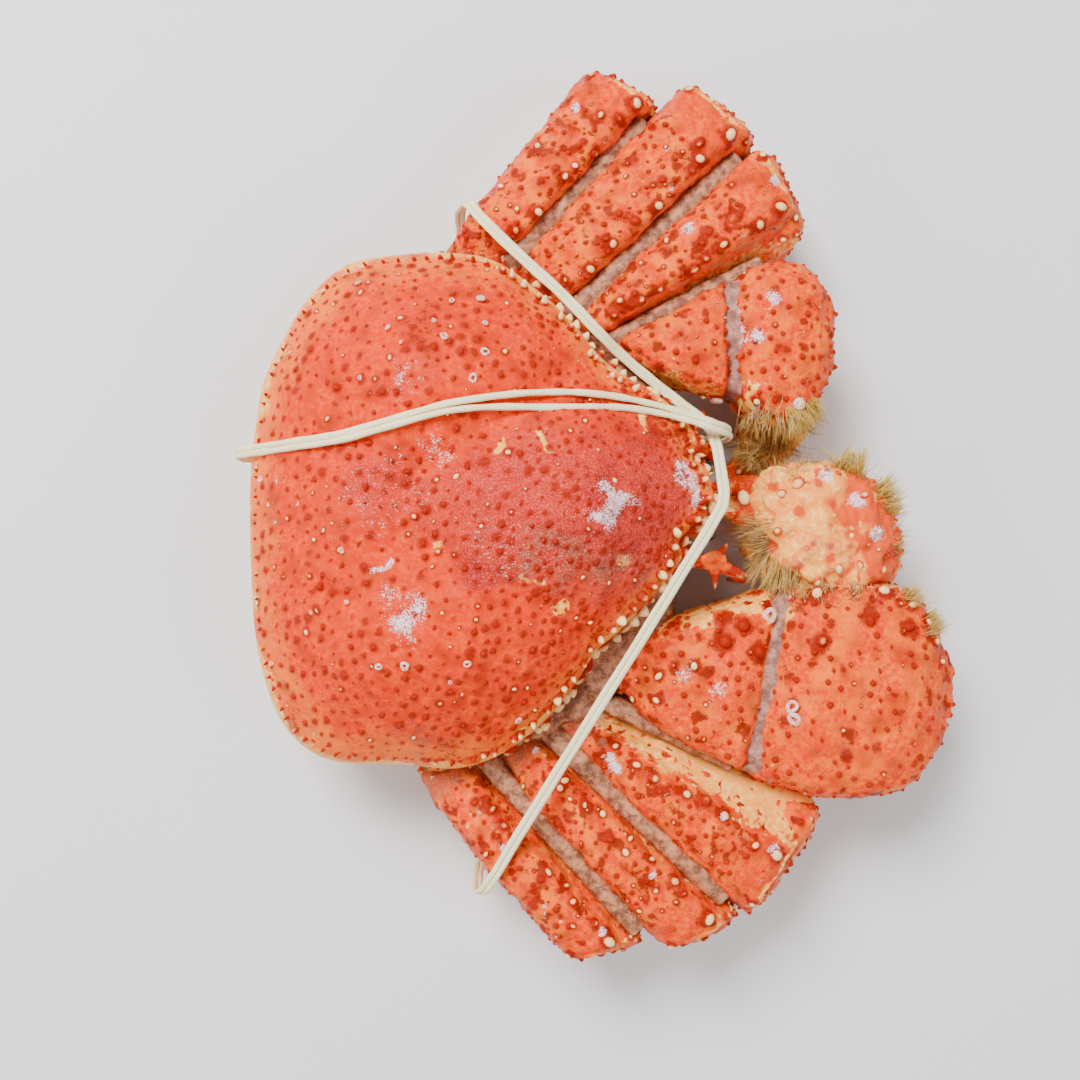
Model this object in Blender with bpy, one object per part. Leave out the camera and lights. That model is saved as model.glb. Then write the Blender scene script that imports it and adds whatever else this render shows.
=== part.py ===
"""Chilean snow crab (a false king crab), life size, folded and banded as it is sold.

Every dimension below is in millimetres in the crab's own frame: x runs forward from the
rear edge of the carapace, y to the crab's left and z up from the floor. The function
world() turns such a point into metres about the middle of the crab's footprint.
"""

import math
import random

import bmesh
import bpy
import numpy as np
from mathutils import Vector
from mathutils.bvhtree import BVHTree

MM = 0.001
FOOTPRINT_CENTRE = (78.9, -3.05)
GAP = 0.3
SEED = 41

# Carapace: the left and the right half of its outline, each from the rear edge to the tip of
# the rostrum. They differ a little, with a deeper notch for the right eye.
CARAPACE_LEFT = ((0.0, 0.0), (0.6, 10.0), (2.0, 20.0), (4.6, 32.0), (10.4, 43.0), (16.6, 51.6),
                 (26.0, 58.2), (38.0, 59.6), (50.0, 59.4), (60.0, 56.8), (70.6, 48.2),
                 (77.2, 41.0), (82.6, 33.6), (88.8, 28.2), (94.6, 24.4), (100.2, 19.0),
                 (103.2, 13.4), (102.2, 9.8), (105.0, 6.6), (106.2, 2.2))
CARAPACE_RIGHT = ((-0.2, -12.0), (0.0, -25.0), (1.8, -37.0), (5.8, -47.6), (12.4, -54.4),
                  (21.0, -57.2), (33.0, -57.8), (44.0, -59.2), (51.0, -58.2), (58.0, -55.2),
                  (66.0, -49.4), (73.4, -41.0), (78.8, -33.4), (84.0, -29.2), (89.4, -24.0),
                  (95.0, -18.0), (98.8, -12.8), (98.6, -8.8), (103.2, -4.6), (106.0, -1.4))
CARAPACE_CENTRE = (60.0, 0.0)
MARGIN_HEIGHT = ((0.0, 33.0), (25.0, 34.6), (60.0, 36.0), (85.0, 39.5), (100.0, 43.0),
                 (106.2, 44.6))
DOME_RISE = ((0.0, 22.0), (52.0, 22.0), (80.0, 19.0), (100.0, 11.0), (106.2, 7.0))
DOME_POWERS = (2.6, 0.72)
# Swollen regions: rise, x, distance from the midline, reach along x, reach across.
REGIONS = ((5.0, 76.0, 0.0, 18.0, 14.0),
           (2.6, 29.0, 0.0, 10.0, 9.0),
           (4.6, 37.0, 34.0, 20.0, 15.0),
           (1.6, 90.0, 0.0, 12.0, 7.0))
# The groove behind the stomach region: a hyperbola, x = base + slope * sqrt(y^2 + round^2).
GROOVE_BASE, GROOVE_SLOPE, GROOVE_ROUND = 22.4, 1.82, 8.0
GROOVE_DEPTH, GROOVE_WIDTH = 2.2, 4.2
UNDERSIDE_REAR, UNDERSIDE_SLOPE = 29.5, 0.045
UNDERSIDE_BEND, UNDERSIDE_FRONT_SLOPE = 78.0, 0.30
CARAPACE_SEGMENTS = 64
CARAPACE_RINGS = (0.14, 0.27, 0.39, 0.51, 0.62, 0.73, 0.82, 0.89, 0.95, 0.985, 1.0)
UNDERSIDE_RINGS = (0.985, 0.60)
# The notches of the margin fade out inwards by this power of the share, and the rings inside
# follow the outline averaged over this many degrees either way.
NOTCH_POWER, NOTCH_AVERAGE = 4, 22.0
FRONT_START, FRONT_DETAIL = 84.0, 2.0

THORAX_OUTLINE = ((5.0, 0.0), (6.5, 14.0), (14.0, 29.0), (30.0, 36.5), (48.0, 37.0),
                  (64.0, 32.0), (78.0, 24.0), (90.0, 15.0), (96.0, 8.0), (97.5, 0.0))
THORAX_FLOOR = 8.0
THORAX_FOOT_SCALE = (0.84, 0.72)
THORAX_CENTRE = (50.0, 0.0)
# Tail flap under the body: x, half width, lowest and highest z of each section.
PLEON_STATIONS = ((12.0, 12.6, 1.6, 7.7), (18.0, 13.4, 0.0, 7.7), (28.0, 13.0, 0.0, 7.7),
                  (36.0, 12.0, 2.2, 7.7), (46.0, 10.4, 4.9, 7.7), (62.0, 6.4, 5.0, 7.7))
PLEON_REAR, PLEON_FRONT = (10.6, 0.0, 6.2), (68.0, 0.0, 7.2)

# Walking legs: the quadrilateral of each folded leg seen from above. Its rear edge and its
# front edge run from under the carapace out to the knee.
LEGS = {
    "leg_2_left": {"rear": ((73.4, 42.6), (123.6, 83.6)), "front": ((79.4, 35.4), (133.2, 61.6))},
    "leg_3_left": {"rear": ((57.6, 52.8), (106.6, 98.6)), "front": ((72.9, 42.2), (122.6, 84.4))},
    "leg_4_left": {"rear": ((44.4, 59.4), (83.4, 102.4)), "front": ((57.2, 52.4), (100.4, 93.2))},
    "leg_2_right": {"rear": ((67.6, -52.4), (112.6, -98.2)),
                    "front": ((79.6, -47.6), (131.6, -73.4))},
    "leg_3_right": {"rear": ((53.2, -59.4), (93.4, -105.2)),
                    "front": ((66.9, -52.8), (111.0, -97.6))},
    "leg_4_right": {"rear": ((34.4, -62.8), (69.4, -105.6)),
                    "front": ((52.4, -59.6), (88.2, -103.0))},
}
SEAM = 0.35
KNEE = 0.83
KNEE_BULGE = 4.2
MERUS_LOW, MERUS_HIGH = 14.6, 38.0
MERUS_BASE_HIGH = 29.6
PROPODUS_LOW, PROPODUS_HIGH = 1.0, 14.0
DACTYL_HIGH = 11.2
UNDER_CLEAR = 3.4
CARPUS_HIGH = 35.6
DACTYL_REACH = {"2": -0.22, "3": -0.22, "4": -0.34}
COXA_ROOTS = {"2": (70.0, 25.0), "3": (56.0, 30.0), "4": (40.0, 32.0), "claw": (84.0, 14.0)}
COXA_MID_HEIGHT = 20.5
COXA_WIDEN = 0.28

# Cross-section of a merus, as shares of its half width and half height. The crest stands
# near the front edge and the front face falls away from it.
MERUS_SECTION = ((-1.0, -0.50), (-1.0, 0.30), (-0.74, 0.80), (-0.22, 0.98), (0.34, 1.0),
                 (0.62, 0.80), (0.88, 0.10), (1.0, -0.50), (0.70, -1.0), (-0.70, -1.0))
# The section of the other limb pieces is a rounded box, a superellipse of ten points.
ROUND_STEPS = [2 * math.pi * (k + 0.5) / 10 for k in range(10)]
ROUND_POWER = 0.75


def rounded(value, largest):
    return math.copysign(abs(value / largest) ** ROUND_POWER, value)


ROUND_SECTION = tuple((rounded(math.cos(a), math.cos(ROUND_STEPS[0])),
                       rounded(math.sin(a), math.sin(ROUND_STEPS[2]))) for a in ROUND_STEPS)
# The tail flap is flat below, where the body rests on it.
PLEON_SECTION = ((-1.0, -0.3), (-0.92, 0.4), (-0.6, 0.9), (0.0, 1.0), (0.6, 0.9), (0.92, 0.4),
                 (1.0, -0.3), (0.62, -1.0), (-0.62, -1.0))

# Claw legs: inner and outer plan point of each section, with its lowest and highest z. The
# first section of a carpus is low, as the joint's skin is between the two shells.
CLAW_MERUS = {
    "left": (((93.0, 31.6), (85.6, 37.0), 17.0, 31.6), ((96.6, 29.8), (91.6, 40.2), 14.0, 37.0),
             ((104.0, 26.8), (103.0, 45.8), 13.0, 39.4), ((110.4, 24.6), (110.8, 49.8), 13.0, 39.4),
             ((112.9, 25.6), (112.9, 50.2), 15.0, 37.2)),
    "right": (((89.0, -34.0), (84.6, -43.8), 17.0, 33.0), ((95.4, -28.6), (91.0, -50.8), 14.0, 37.4),
              ((105.4, -25.4), (99.6, -56.8), 13.0, 39.4), ((117.6, -22.2), (109.8, -61.6), 13.0, 39.6),
              ((121.8, -22.8), (112.6, -62.4), 15.0, 37.4)),
}
CLAW_CARPUS = {
    "left": (((113.3, 25.6), (113.3, 50.2), 16.6, 34.6), ((116.8, 20.4), (116.6, 52.4), 16.0, 40.2),
             ((125.0, 17.8), (125.0, 54.0), 16.0, 41.0), ((132.4, 21.8), (132.0, 52.0), 16.6, 39.4),
             ((136.2, 29.0), (136.0, 46.6), 19.0, 35.6)),
    "right": (((122.3, -23.0), (113.1, -62.6), 16.0, 34.4), ((126.6, -21.4), (118.2, -66.4), 11.0, 40.2),
              ((139.0, -20.8), (133.0, -69.8), 9.0, 41.6), ((151.0, -22.6), (148.4, -69.0), 9.4, 40.4),
              ((157.6, -30.0), (156.4, -61.4), 12.0, 37.0), ((161.0, -38.0), (160.4, -53.6), 18.0, 32.0)),
}
PALM_RIGHT = (((151.0, -17.0), (150.4, -7.4), 19.0, 30.0), ((148.2, -19.8), (148.0, -0.8), 13.6, 35.0),
              ((140.6, -20.2), (141.4, 6.4), 11.0, 38.0), ((129.6, -20.2), (130.0, 7.6), 11.0, 38.0),
              ((121.8, -17.4), (122.2, 5.6), 12.0, 36.0), ((118.6, -14.0), (118.8, 2.4), 13.4, 31.4))
PALM_LEFT = (((135.4, 30.4), (128.4, 35.6), 5.0, 14.6), ((135.6, 22.4), (123.4, 31.6), 2.4, 15.6),
             ((132.6, 13.4), (119.4, 22.6), 1.6, 15.6), ((128.6, 9.0), (118.4, 17.6), 2.0, 15.0),
             ((123.6, 6.2), (118.0, 12.4), 3.4, 13.6))
FINGER_RIGHT_PATH = ((117.6, -3.0, 26.6), (115.2, -2.8, 26.9), (112.4, -1.8, 26.8), (109.4, -0.6, 24.8))
FINGER_RIGHT_SIZE = (4.2, 4.2)
THUMB_RIGHT_PATH = ((124.0, 1.6, 18.6), (117.0, 2.4, 18.0), (112.8, 2.2, 18.2), (109.4, 1.0, 19.6))
THUMB_RIGHT_SIZE = (4.2, 3.6)
FINGER_LEFT_PATH = ((117.2, 7.4, 10.8), (113.6, 3.8, 11.2), (110.6, 0.4, 10.2), (108.8, -2.0, 8.6))
FINGER_LEFT_SIZE = (3.6, 2.6)
THUMB_LEFT_PATH = ((121.2, 9.4, 5.6), (114.6, 4.2, 4.6), (111.4, 0.8, 4.4), (109.2, -1.8, 5.2))
THUMB_LEFT_SIZE = (3.4, 2.3)
FINGER_TAPER = (1.0, 0.8, 0.4)

# Head, mirrored for the right side except where both sides are given.
EYE_PATH = ((93.4, 4.6, 35.5), (98.5, 5.4, 36.0), (102.4, 6.6, 37.0), (105.4, 7.4, 37.4))
EYE_SIZES = ((1.8, 1.5), (1.8, 1.6), (2.5, 2.4), (2.2, 2.1))
ANTENNULE_PATH = ((95.0, 1.3, 35.0), (102.0, 1.8, 34.8), (108.0, 2.6, 34.2), (112.4, 3.4, 33.2))
ANTENNA_PATHS = {
    "left": ((98.6, 9.6, 30.2), (101.5, 13.6, 31.4), (104.4, 17.6, 31.2), (106.6, 20.4, 28.0),
             (107.6, 21.4, 22.0), (107.6, 21.4, 15.0), (105.6, 20.6, 9.0)),
    "right": ((98.6, 9.6, 30.2), (102.0, 12.8, 32.0), (107.5, 15.5, 33.0), (112.0, 17.4, 31.4),
              (115.0, 19.0, 26.0), (115.6, 19.6, 18.0), (113.4, 19.2, 11.0)),
}
ANTENNA_SIZES = ((1.9, 1.7), (1.7, 1.5), (0.9, 0.9), (0.6, 0.6), (0.45, 0.45))
ANTENNULE_SIZES = ((0.9, 0.9), (0.5, 0.5))
# The star-shaped spined scale over each antenna: its middle and the tips of its spines.
ACICLES = {
    "left": ((104.6, 11.6, 36.4), ((109.0, 9.0, 36.8), (108.4, 13.2, 36.4), (104.4, 16.4, 36.4),
                                   (100.0, 11.0, 36.2))),
    "right": ((106.6, -14.0, 38.0), ((115.2, -16.2, 38.6), (112.6, -19.3, 38.2), (107.0, -20.6, 37.8),
                                     (109.4, -9.6, 38.6), (101.2, -16.4, 37.6))),
}
ACICLE_HALF = 2.4
ACICLE_SIZES = ((1.6, 0.9), (2.4, 1.2), (1.4, 0.8))
ACICLE_SPINE = 1.1
MAXILLIPED_PATH = ((11.0, 4.4), (17.0, 4.8), (24.0, 4.8), (29.0, 4.2), (32.0, 3.6))
MAXILLIPED_HALF = (3.6, 2.0)

# Runs of bristle locks: the node that carries them, the point that they fan out from, the
# line their roots follow, how many there are, the heights of their two tiers, how steeply
# they rise, their length and their width.
LOCK_RUNS = (
    ("claw_right_palm", (134.0, -8.0),
     ((128.0, 2.6), (136.0, 3.2), (142.0, 1.0), (146.0, -6.0), (147.0, -13.0)),
     15, (21.0, 29.0), 0.35, 6.2, 4.4),
    ("claw_left_palm", (126.6, 22.0), ((121.6, 13.8), (126.0, 13.6), (130.2, 16.6), (133.4, 23.0)),
     9, (9.0, 11.0), 1.5, 6.0, 4.2),
    ("claw_right_merus", (107.0, -46.0), ((104.0, -31.0), (110.0, -30.0), (116.0, -29.0)),
     5, (31.0, 34.0), 0.25, 5.0, 3.2),
)
LOCK_DROOP = 1.6

# Granules, margin cones and spines.
GRANULE_COUNT, GRANULE_TRIES, GRANULE_SPACING = 160, 6000, 6.2
GRANULE_EDGE = 0.93
GRANULE_HEIGHT, GRANULE_RADIUS = 0.95, 1.75
MARGIN_TEETH = 66
ROUTE_CLEAR = 3.4
ROSTRUM_SPINES = (((102.0, -0.6, 41.0), (112.4, -0.8, 40.2), 1.7),
                  ((100.4, 4.4, 42.6), (107.0, 5.2, 43.2), 1.3),
                  ((99.0, 10.6, 42.4), (105.4, 10.6, 42.4), 1.3),
                  ((95.0, -9.0, 41.8), (101.6, -9.8, 41.8), 1.3),
                  ((99.6, -4.0, 42.4), (106.2, -5.4, 42.6), 1.3))
# Rows of knobs on a merus: share across, how many, height, radius, how blunt.
MERUS_ROWS = ((0.34, 7, 1.9, 1.7, 0.6), (-0.12, 5, 1.2, 1.5, 0.0), (-0.58, 6, 1.3, 1.5, 0.0))
CLAW_KNOB = (1.3, 1.8, 0.6)
CARPUS_KNOBS = ((-0.45, 29.5), (0.45, 30.5), (0.0, 23.0), (-0.5, 16.0), (0.5, 16.5))

# Bands: the thickness, height over the shell and hand-chosen points along each closed loop.
# A height of None lies on the carapace.
BAND_WIDTHS = {"band_lengthwise": 3.8, "band_crosswise": 2.8}
BAND_THICKNESS = 1.8
BAND_LIFT = 1.9
BAND_LOWEST = 1.25
BODY_MIDDLE, BODY_REACH = (60.0, 0.0, 20.0), (60.0, 60.0, 20.0)
BAND_ROUTES = {
    "band_lengthwise": ((-2.2, 15.4, 31.6), (-1.0, 15.6, 36.0), (4.6, 15.8, None), (14.0, 16.0, None),
                        (25.0, 16.7, None), (38.0, 19.3, None), (49.2, 21.6, None), (61.0, 22.7, None),
                        (72.6, 22.7, None), (79.0, 22.5, None), (86.0, 22.0, None),
                        (93.6, 20.6, None), (101.0, 18.4, 46.8),
                        (106.6, 16.4, 46.0), (110.4, 15.4, 41.8), (111.9, 15.2, 34.0),
                        (112.0, 15.2, 24.0), (110.8, 15.2, 14.0), (105.6, 15.4, 6.8),
                        (92.0, 15.6, 5.2), (70.0, 15.6, 4.4), (52.0, 15.6, 4.2), (34.0, 15.8, 4.4),
                        (16.0, 15.8, 5.4), (3.6, 15.6, 13.0), (-1.8, 15.4, 23.0)),
    "band_crosswise": ((53.2, 71.4, 37.4), (57.6, 65.6, 38.6), (65.8, 57.0, 38.8), (74.2, 48.6, 39.0),
                       (81.8, 40.0, 38.6), (87.6, 34.6, 34.6), (94.2, 28.8, 33.0), (100.8, 22.8, 34.2),
                       (105.8, 17.6, 38.6), (107.4, 12.6, 43.4), (107.8, 6.6, 46.6),
                       (108.0, 0.0, 47.8), (105.8, -4.6, 47.9), (97.4, -17.3, 46.6),
                       (88.4, -30.9, 45.0), (74.3, -51.9, 42.6), (59.8, -73.6, 40.3),
                       (52.6, -84.6, 38.9), (49.6, -88.2, 34.4), (48.6, -88.2, 20.0), (49.0, -87.0, 8.0),
                       (50.6, -82.0, 1.8), (51.6, -60.0, 1.3), (52.4, -20.0, 1.3), (52.6, 20.0, 1.3),
                       (51.6, 58.0, 1.3), (50.4, 70.4, 2.4), (49.4, 73.0, 9.0), (49.6, 73.6, 22.0),
                       (50.8, 73.2, 32.0)),
}
BAND_POINTS = {"band_lengthwise": 76, "band_crosswise": 84}
BAND_UPPER = 24.0


def world(point):
    """The point in metres, about the middle of the footprint."""
    return Vector(((point[0] - FOOTPRINT_CENTRE[0]) * MM,
                   (point[1] - FOOTPRINT_CENTRE[1]) * MM,
                   point[2] * MM))


def clear_scene():
    for thing in list(bpy.data.objects):
        bpy.data.objects.remove(thing, do_unlink=True)


def material(name, colour, roughness):
    made = bpy.data.materials.new(name)
    made.use_nodes = True
    shader = made.node_tree.nodes["Principled BSDF"]
    shader.inputs["Base Color"].default_value = (*colour, 1.0)
    shader.inputs["Roughness"].default_value = roughness
    shader.inputs["Metallic"].default_value = 0.0
    return made


def smooth_curve(points, count, closed=False):
    """Points along the Catmull-Rom curve through the given ones."""
    points = np.array(points, dtype=float)
    spans = len(points) if closed else len(points) - 1
    out = []
    for place in np.linspace(0.0, spans, count, endpoint=not closed):
        span = min(int(place), spans - 1)
        t = place - span
        index = [span - 1, span, span + 1, span + 2]
        if closed:
            index = [k % len(points) for k in index]
        else:
            index = [min(max(k, 0), len(points) - 1) for k in index]
        p0, p1, p2, p3 = points[index]
        out.append(0.5 * ((2 * p1) + (p2 - p0) * t + (2 * p0 - 5 * p1 + 4 * p2 - p3) * t ** 2
                          + (3 * p1 - p0 - 3 * p2 + p3) * t ** 3))
    return np.array(out)


def make_object(name, points, faces, finish):
    mesh = bpy.data.meshes.new(name)
    mesh.from_pydata([world(p) for p in points], [], faces)
    work = bmesh.new()
    work.from_mesh(mesh)
    bmesh.ops.recalc_face_normals(work, faces=work.faces)
    work.to_mesh(mesh)
    work.free()
    made = bpy.data.objects.new(name, mesh)
    made.data.materials.append(finish)
    bpy.context.scene.collection.objects.link(made)
    return made


def loft(name, rings, finish, start=None, end=None):
    """A closed body through rings of equal size. An end is a flat fan or rises to a point."""
    count = len(rings[0])
    points = [tuple(p) for ring in rings for p in ring]
    faces = []
    for k in range(len(rings) - 1):
        for j in range(count):
            a, b = k * count + j, k * count + (j + 1) % count
            faces.append((a, b, b + count, a + count))
    for ring_index, pole in ((0, start), (len(rings) - 1, end)):
        ring = rings[ring_index]
        points.append(tuple(np.mean(ring, axis=0)) if pole is None else tuple(pole))
        centre = len(points) - 1
        for j in range(count):
            a, b = ring_index * count + j, ring_index * count + (j + 1) % count
            faces.append((b, a, centre) if ring_index == 0 else (a, b, centre))
    return make_object(name, points, faces, finish)


def section(inner, outer, low, high, profile=ROUND_SECTION):
    """A ring in the upright plane through two plan points, between two heights."""
    ring = []
    for across, up in profile:
        share = 0.5 + 0.5 * across
        ring.append((inner[0] + (outer[0] - inner[0]) * share,
                     inner[1] + (outer[1] - inner[1]) * share,
                     low + (high - low) * (0.5 + 0.5 * up)))
    return ring


def tube_rings(path, half_sizes, sides=8, up=(0.0, 0.0, 1.0), closed=False):
    """Elliptic rings square to a path, with a half width and half height at each point."""
    path = np.array(path, dtype=float)
    rings = []
    for k, centre in enumerate(path):
        ahead = path[(k + 1) % len(path)] if closed else path[min(k + 1, len(path) - 1)]
        behind = path[k - 1] if closed else path[max(k - 1, 0)]
        along = ahead - behind
        along /= np.linalg.norm(along)
        rise = np.array(up[k] if len(np.shape(up)) == 2 else up, dtype=float)
        side = np.cross(along, rise)
        side /= np.linalg.norm(side)
        rise = np.cross(side, along)
        wide, tall = half_sizes[k]
        angles = 2 * math.pi * (np.arange(sides) + 0.5) / sides
        rings.append([tuple(centre + side * wide * math.cos(a) + rise * tall * math.sin(a))
                      for a in angles])
    return rings


def closed_tube(name, path, wide, tall, sides, outward, finish):
    """A ring-shaped tube along a closed path, its flat side facing outward."""
    rings = tube_rings(path, [(wide, tall)] * len(path), sides, up=outward, closed=True)
    points = [p for ring in rings for p in ring]
    faces = []
    for k in range(len(rings)):
        after = (k + 1) % len(rings)
        for j in range(sides):
            beside = (j + 1) % sides
            faces.append((k * sides + j, k * sides + beside, after * sides + beside, after * sides + j))
    return make_object(name, points, faces, finish)


def outline_points(left, right, count, front_detail=1.0):
    """The full outline from its left half and its right half, both from the rear, as points
    that are evenly spaced, or closer together by the given factor along the front."""
    dense = smooth_curve(list(left) + list(right)[::-1], 40 * count, closed=True)
    steps = np.linalg.norm(np.roll(dense, -1, axis=0) - dense, axis=1)
    steps = steps * np.where(dense[:, 0] > FRONT_START, front_detail, 1.0)
    travelled = np.concatenate(([0.0], np.cumsum(steps)))
    wanted = np.arange(count) * travelled[-1] / count
    dense = np.vstack((dense, dense[:1]))
    return np.column_stack([np.interp(wanted, travelled, dense[:, k]) for k in range(2)])


def carapace_height(x, y, share):
    """Height of the shell over plan point (x, y), which lies at a share of the way from the
    shell's centre to its margin: margin height, plus a dome that falls off with the share,
    plus the swollen regions, less the groove round the stomach region."""
    x, y, share = np.asarray(x, float), np.abs(np.asarray(y, float)), np.asarray(share, float)
    height = np.interp(x, *zip(*MARGIN_HEIGHT))
    height = height + np.interp(x, *zip(*DOME_RISE)) * (1 - share ** DOME_POWERS[0]) ** DOME_POWERS[1]
    inside = 1 - share ** 4
    for rise, at_x, at_y, reach_x, reach_y in REGIONS:
        height = height + rise * inside * np.exp(-((x - at_x) / reach_x) ** 2
                                                 - ((y - at_y) / reach_y) ** 2)
    bow = np.sqrt(y ** 2 + GROOVE_ROUND ** 2)
    away = (x - GROOVE_BASE - GROOVE_SLOPE * bow) / np.sqrt(1 + (GROOVE_SLOPE * y / bow) ** 2)
    return height - GROOVE_DEPTH * inside * np.exp(-(away / GROOVE_WIDTH) ** 2)


def margin_share(x, y, outline):
    """How far plan point (x, y) lies from the shell's centre towards its margin, 1 at it."""
    centre = np.array(CARAPACE_CENTRE)
    spokes = outline - centre
    angles = np.arctan2(spokes[:, 1], spokes[:, 0])
    order = np.argsort(angles)
    reach = np.interp(math.atan2(y - centre[1], x - centre[0]), angles[order],
                      np.linalg.norm(spokes, axis=1)[order], period=2 * math.pi)
    return min(1.0, math.hypot(x - centre[0], y - centre[1]) / reach)


def ring_plan(outline, share):
    """The ring at a share of the way out to the margin: an averaged outline, scaled, that
    takes up the margin's own notches as the share nears 1."""
    centre = np.array(CARAPACE_CENTRE)
    spokes = outline - centre
    angles = np.arctan2(spokes[:, 1], spokes[:, 0])
    reach = np.linalg.norm(spokes, axis=1)
    order = np.argsort(angles)
    turns = np.radians(np.linspace(-NOTCH_AVERAGE, NOTCH_AVERAGE, 9))
    smooth = np.mean([np.interp(angles + turn, angles[order], reach[order], period=2 * math.pi)
                      for turn in turns], axis=0)
    out = share * (smooth + (reach - smooth) * share ** NOTCH_POWER)
    return centre + spokes * (out / reach)[:, None]


def underside(x):
    """The plane that the shell's underside follows, with its steeper stretch in front."""
    return max(UNDERSIDE_REAR + UNDERSIDE_SLOPE * x,
               UNDERSIDE_REAR + UNDERSIDE_SLOPE * UNDERSIDE_BEND
               + UNDERSIDE_FRONT_SLOPE * (x - UNDERSIDE_BEND))


def make_carapace(finish, outline):
    centre = np.array(CARAPACE_CENTRE)
    rings = []
    for share in CARAPACE_RINGS:
        plan = ring_plan(outline, share)
        heights = carapace_height(plan[:, 0], plan[:, 1], share)
        rings.append([(px, py, pz) for (px, py), pz in zip(plan, heights)])
    for share in UNDERSIDE_RINGS:
        plan = centre + (outline - centre) * share
        rings.append([(px, py, underside(px)) for px, py in plan])
    top = (centre[0], centre[1], float(carapace_height(centre[0], centre[1], 0.0)))
    return loft("carapace", rings, finish, start=top, end=(centre[0], centre[1], underside(centre[0])))


def make_thorax(finish):
    mirrored = [(x, -y) for x, y in THORAX_OUTLINE[1:-1]]
    outline = outline_points(THORAX_OUTLINE, mirrored, 32)
    middle = np.array(THORAX_CENTRE)
    rings = []
    for share in (0.0, 0.16, 0.62, 0.90, 1.0):
        scale = 1 - (1 - np.array(THORAX_FOOT_SCALE)) * share ** 1.6
        plan = middle + (outline - middle) * scale
        ring = []
        for px, py in plan:
            high = UNDERSIDE_REAR + UNDERSIDE_SLOPE * px - GAP
            ring.append((px, py, high + (THORAX_FLOOR - high) * share))
        rings.append(ring)
    return loft("thorax", rings, finish)


def make_pleon(finish):
    """The folded tail flap under the body, with its rear bulge resting on the floor."""
    rings = [section((x, -half), (x, half), low, high, PLEON_SECTION)
             for x, half, low, high in PLEON_STATIONS]
    return loft("pleon", rings, finish, start=PLEON_REAR, end=PLEON_FRONT)


class Leg:
    """Plan of one folded walking leg, with points taken by share along and share across."""

    def __init__(self, name):
        self.name = name
        self.number = name[4]
        self.side = 1.0 if name.endswith("left") else -1.0
        self.rear = np.array(LEGS[name]["rear"])
        self.front = np.array(LEGS[name]["front"])
        self.length = np.linalg.norm(self.point(1.0, 0.0) - self.point(0.0, 0.0))

    def point(self, along, across):
        rear = self.rear[0] + (self.rear[1] - self.rear[0]) * along
        front = self.front[0] + (self.front[1] - self.front[0]) * along
        return rear + (front - rear) * (0.5 + 0.5 * across)

    def edges(self, along, share=1.0):
        """The two plan points across the leg, a seam's width inside its own outline."""
        width = np.linalg.norm(self.point(along, 1.0) - self.point(along, -1.0))
        across = share * (1.0 - 2 * SEAM / width)
        return self.point(along, -across), self.point(along, across)


def make_merus(leg, finish):
    rings = []
    for along, share, low, high in ((0.0, 0.80, 17.0, MERUS_BASE_HIGH), (0.10, 0.94, 15.2, 31.4),
                                    (0.30, 1.0, MERUS_LOW, 36.2), (0.60, 1.0, MERUS_LOW, MERUS_HIGH),
                                    (0.77, 1.0, MERUS_LOW, MERUS_HIGH), (KNEE, 0.97, MERUS_LOW, 36.6)):
        inner, outer = leg.edges(along, share)
        rings.append(section(inner, outer, low, high, MERUS_SECTION))
    return loft(leg.name + "_merus", rings, finish)


def make_carpus(leg, finish):
    """The knee piece: D-shaped level rings that stand against the merus and the propodus."""
    inner_along = KNEE + GAP / leg.length
    rings = []
    for height, share, depth in ((CARPUS_HIGH, 0.72, 0.42), (33.0, 0.88, 0.72), (24.0, 0.96, 1.0),
                                 (12.0, 0.94, 0.96), (4.0, 0.82, 0.72), (0.0, 0.55, 0.45)):
        back, front = leg.edges(inner_along, share)
        reach = (1.0 - inner_along) * depth
        ring = [(*back, height)]
        for across in (-0.96, -0.66, -0.22, 0.22, 0.66, 0.96):
            round_off = 1 - abs(across) ** 3
            along = inner_along + reach * (0.45 + 0.55 * round_off) \
                + KNEE_BULGE / leg.length * depth * round_off
            spot = leg.edges(along, share * abs(across))[0 if across < 0 else 1]
            ring.append((*spot, height))
        ring.append((*front, height))
        rings.append(ring)
    return loft(leg.name + "_carpus", rings, finish)


def make_propodus(leg, finish):
    start_along = KNEE - GAP / leg.length
    rings = []
    for along, share, low, high in ((start_along, 0.72, PROPODUS_LOW, PROPODUS_HIGH),
                                    (0.66, 0.80, PROPODUS_LOW + 0.6, PROPODUS_HIGH),
                                    (0.54, 0.78, UNDER_CLEAR, PROPODUS_HIGH),
                                    (0.30, 0.72, UNDER_CLEAR, 13.2), (0.10, 0.62, UNDER_CLEAR, 12.2)):
        rings.append(section(*leg.edges(along, share), low, high))
    return loft(leg.name + "_propodus", rings, finish)


def make_dactyl(leg, finish):
    first = 0.10 - GAP / leg.length
    last = DACTYL_REACH[leg.number]
    rings = []
    for part, half, low, high in ((0.0, 3.0, UNDER_CLEAR + 0.4, DACTYL_HIGH),
                                  (0.4, 2.5, UNDER_CLEAR, DACTYL_HIGH - 1.4),
                                  (0.8, 1.4, UNDER_CLEAR, DACTYL_HIGH - 4.0)):
        along = first + (last - first) * part
        middle = leg.point(along, 0.0)
        across = leg.point(along, 1.0) - leg.point(along, -1.0)
        across = across / np.linalg.norm(across) * half
        rings.append(section(middle - across, middle + across, low, high))
    tip = leg.point(last, 0.0)
    return loft(leg.name + "_dactyl", rings, finish, end=(*tip, UNDER_CLEAR + 0.6))


def surface_of(thing):
    mesh = thing.data
    return BVHTree.FromPolygons([v.co.copy() for v in mesh.vertices],
                                [tuple(p.vertices) for p in mesh.polygons])


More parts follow.
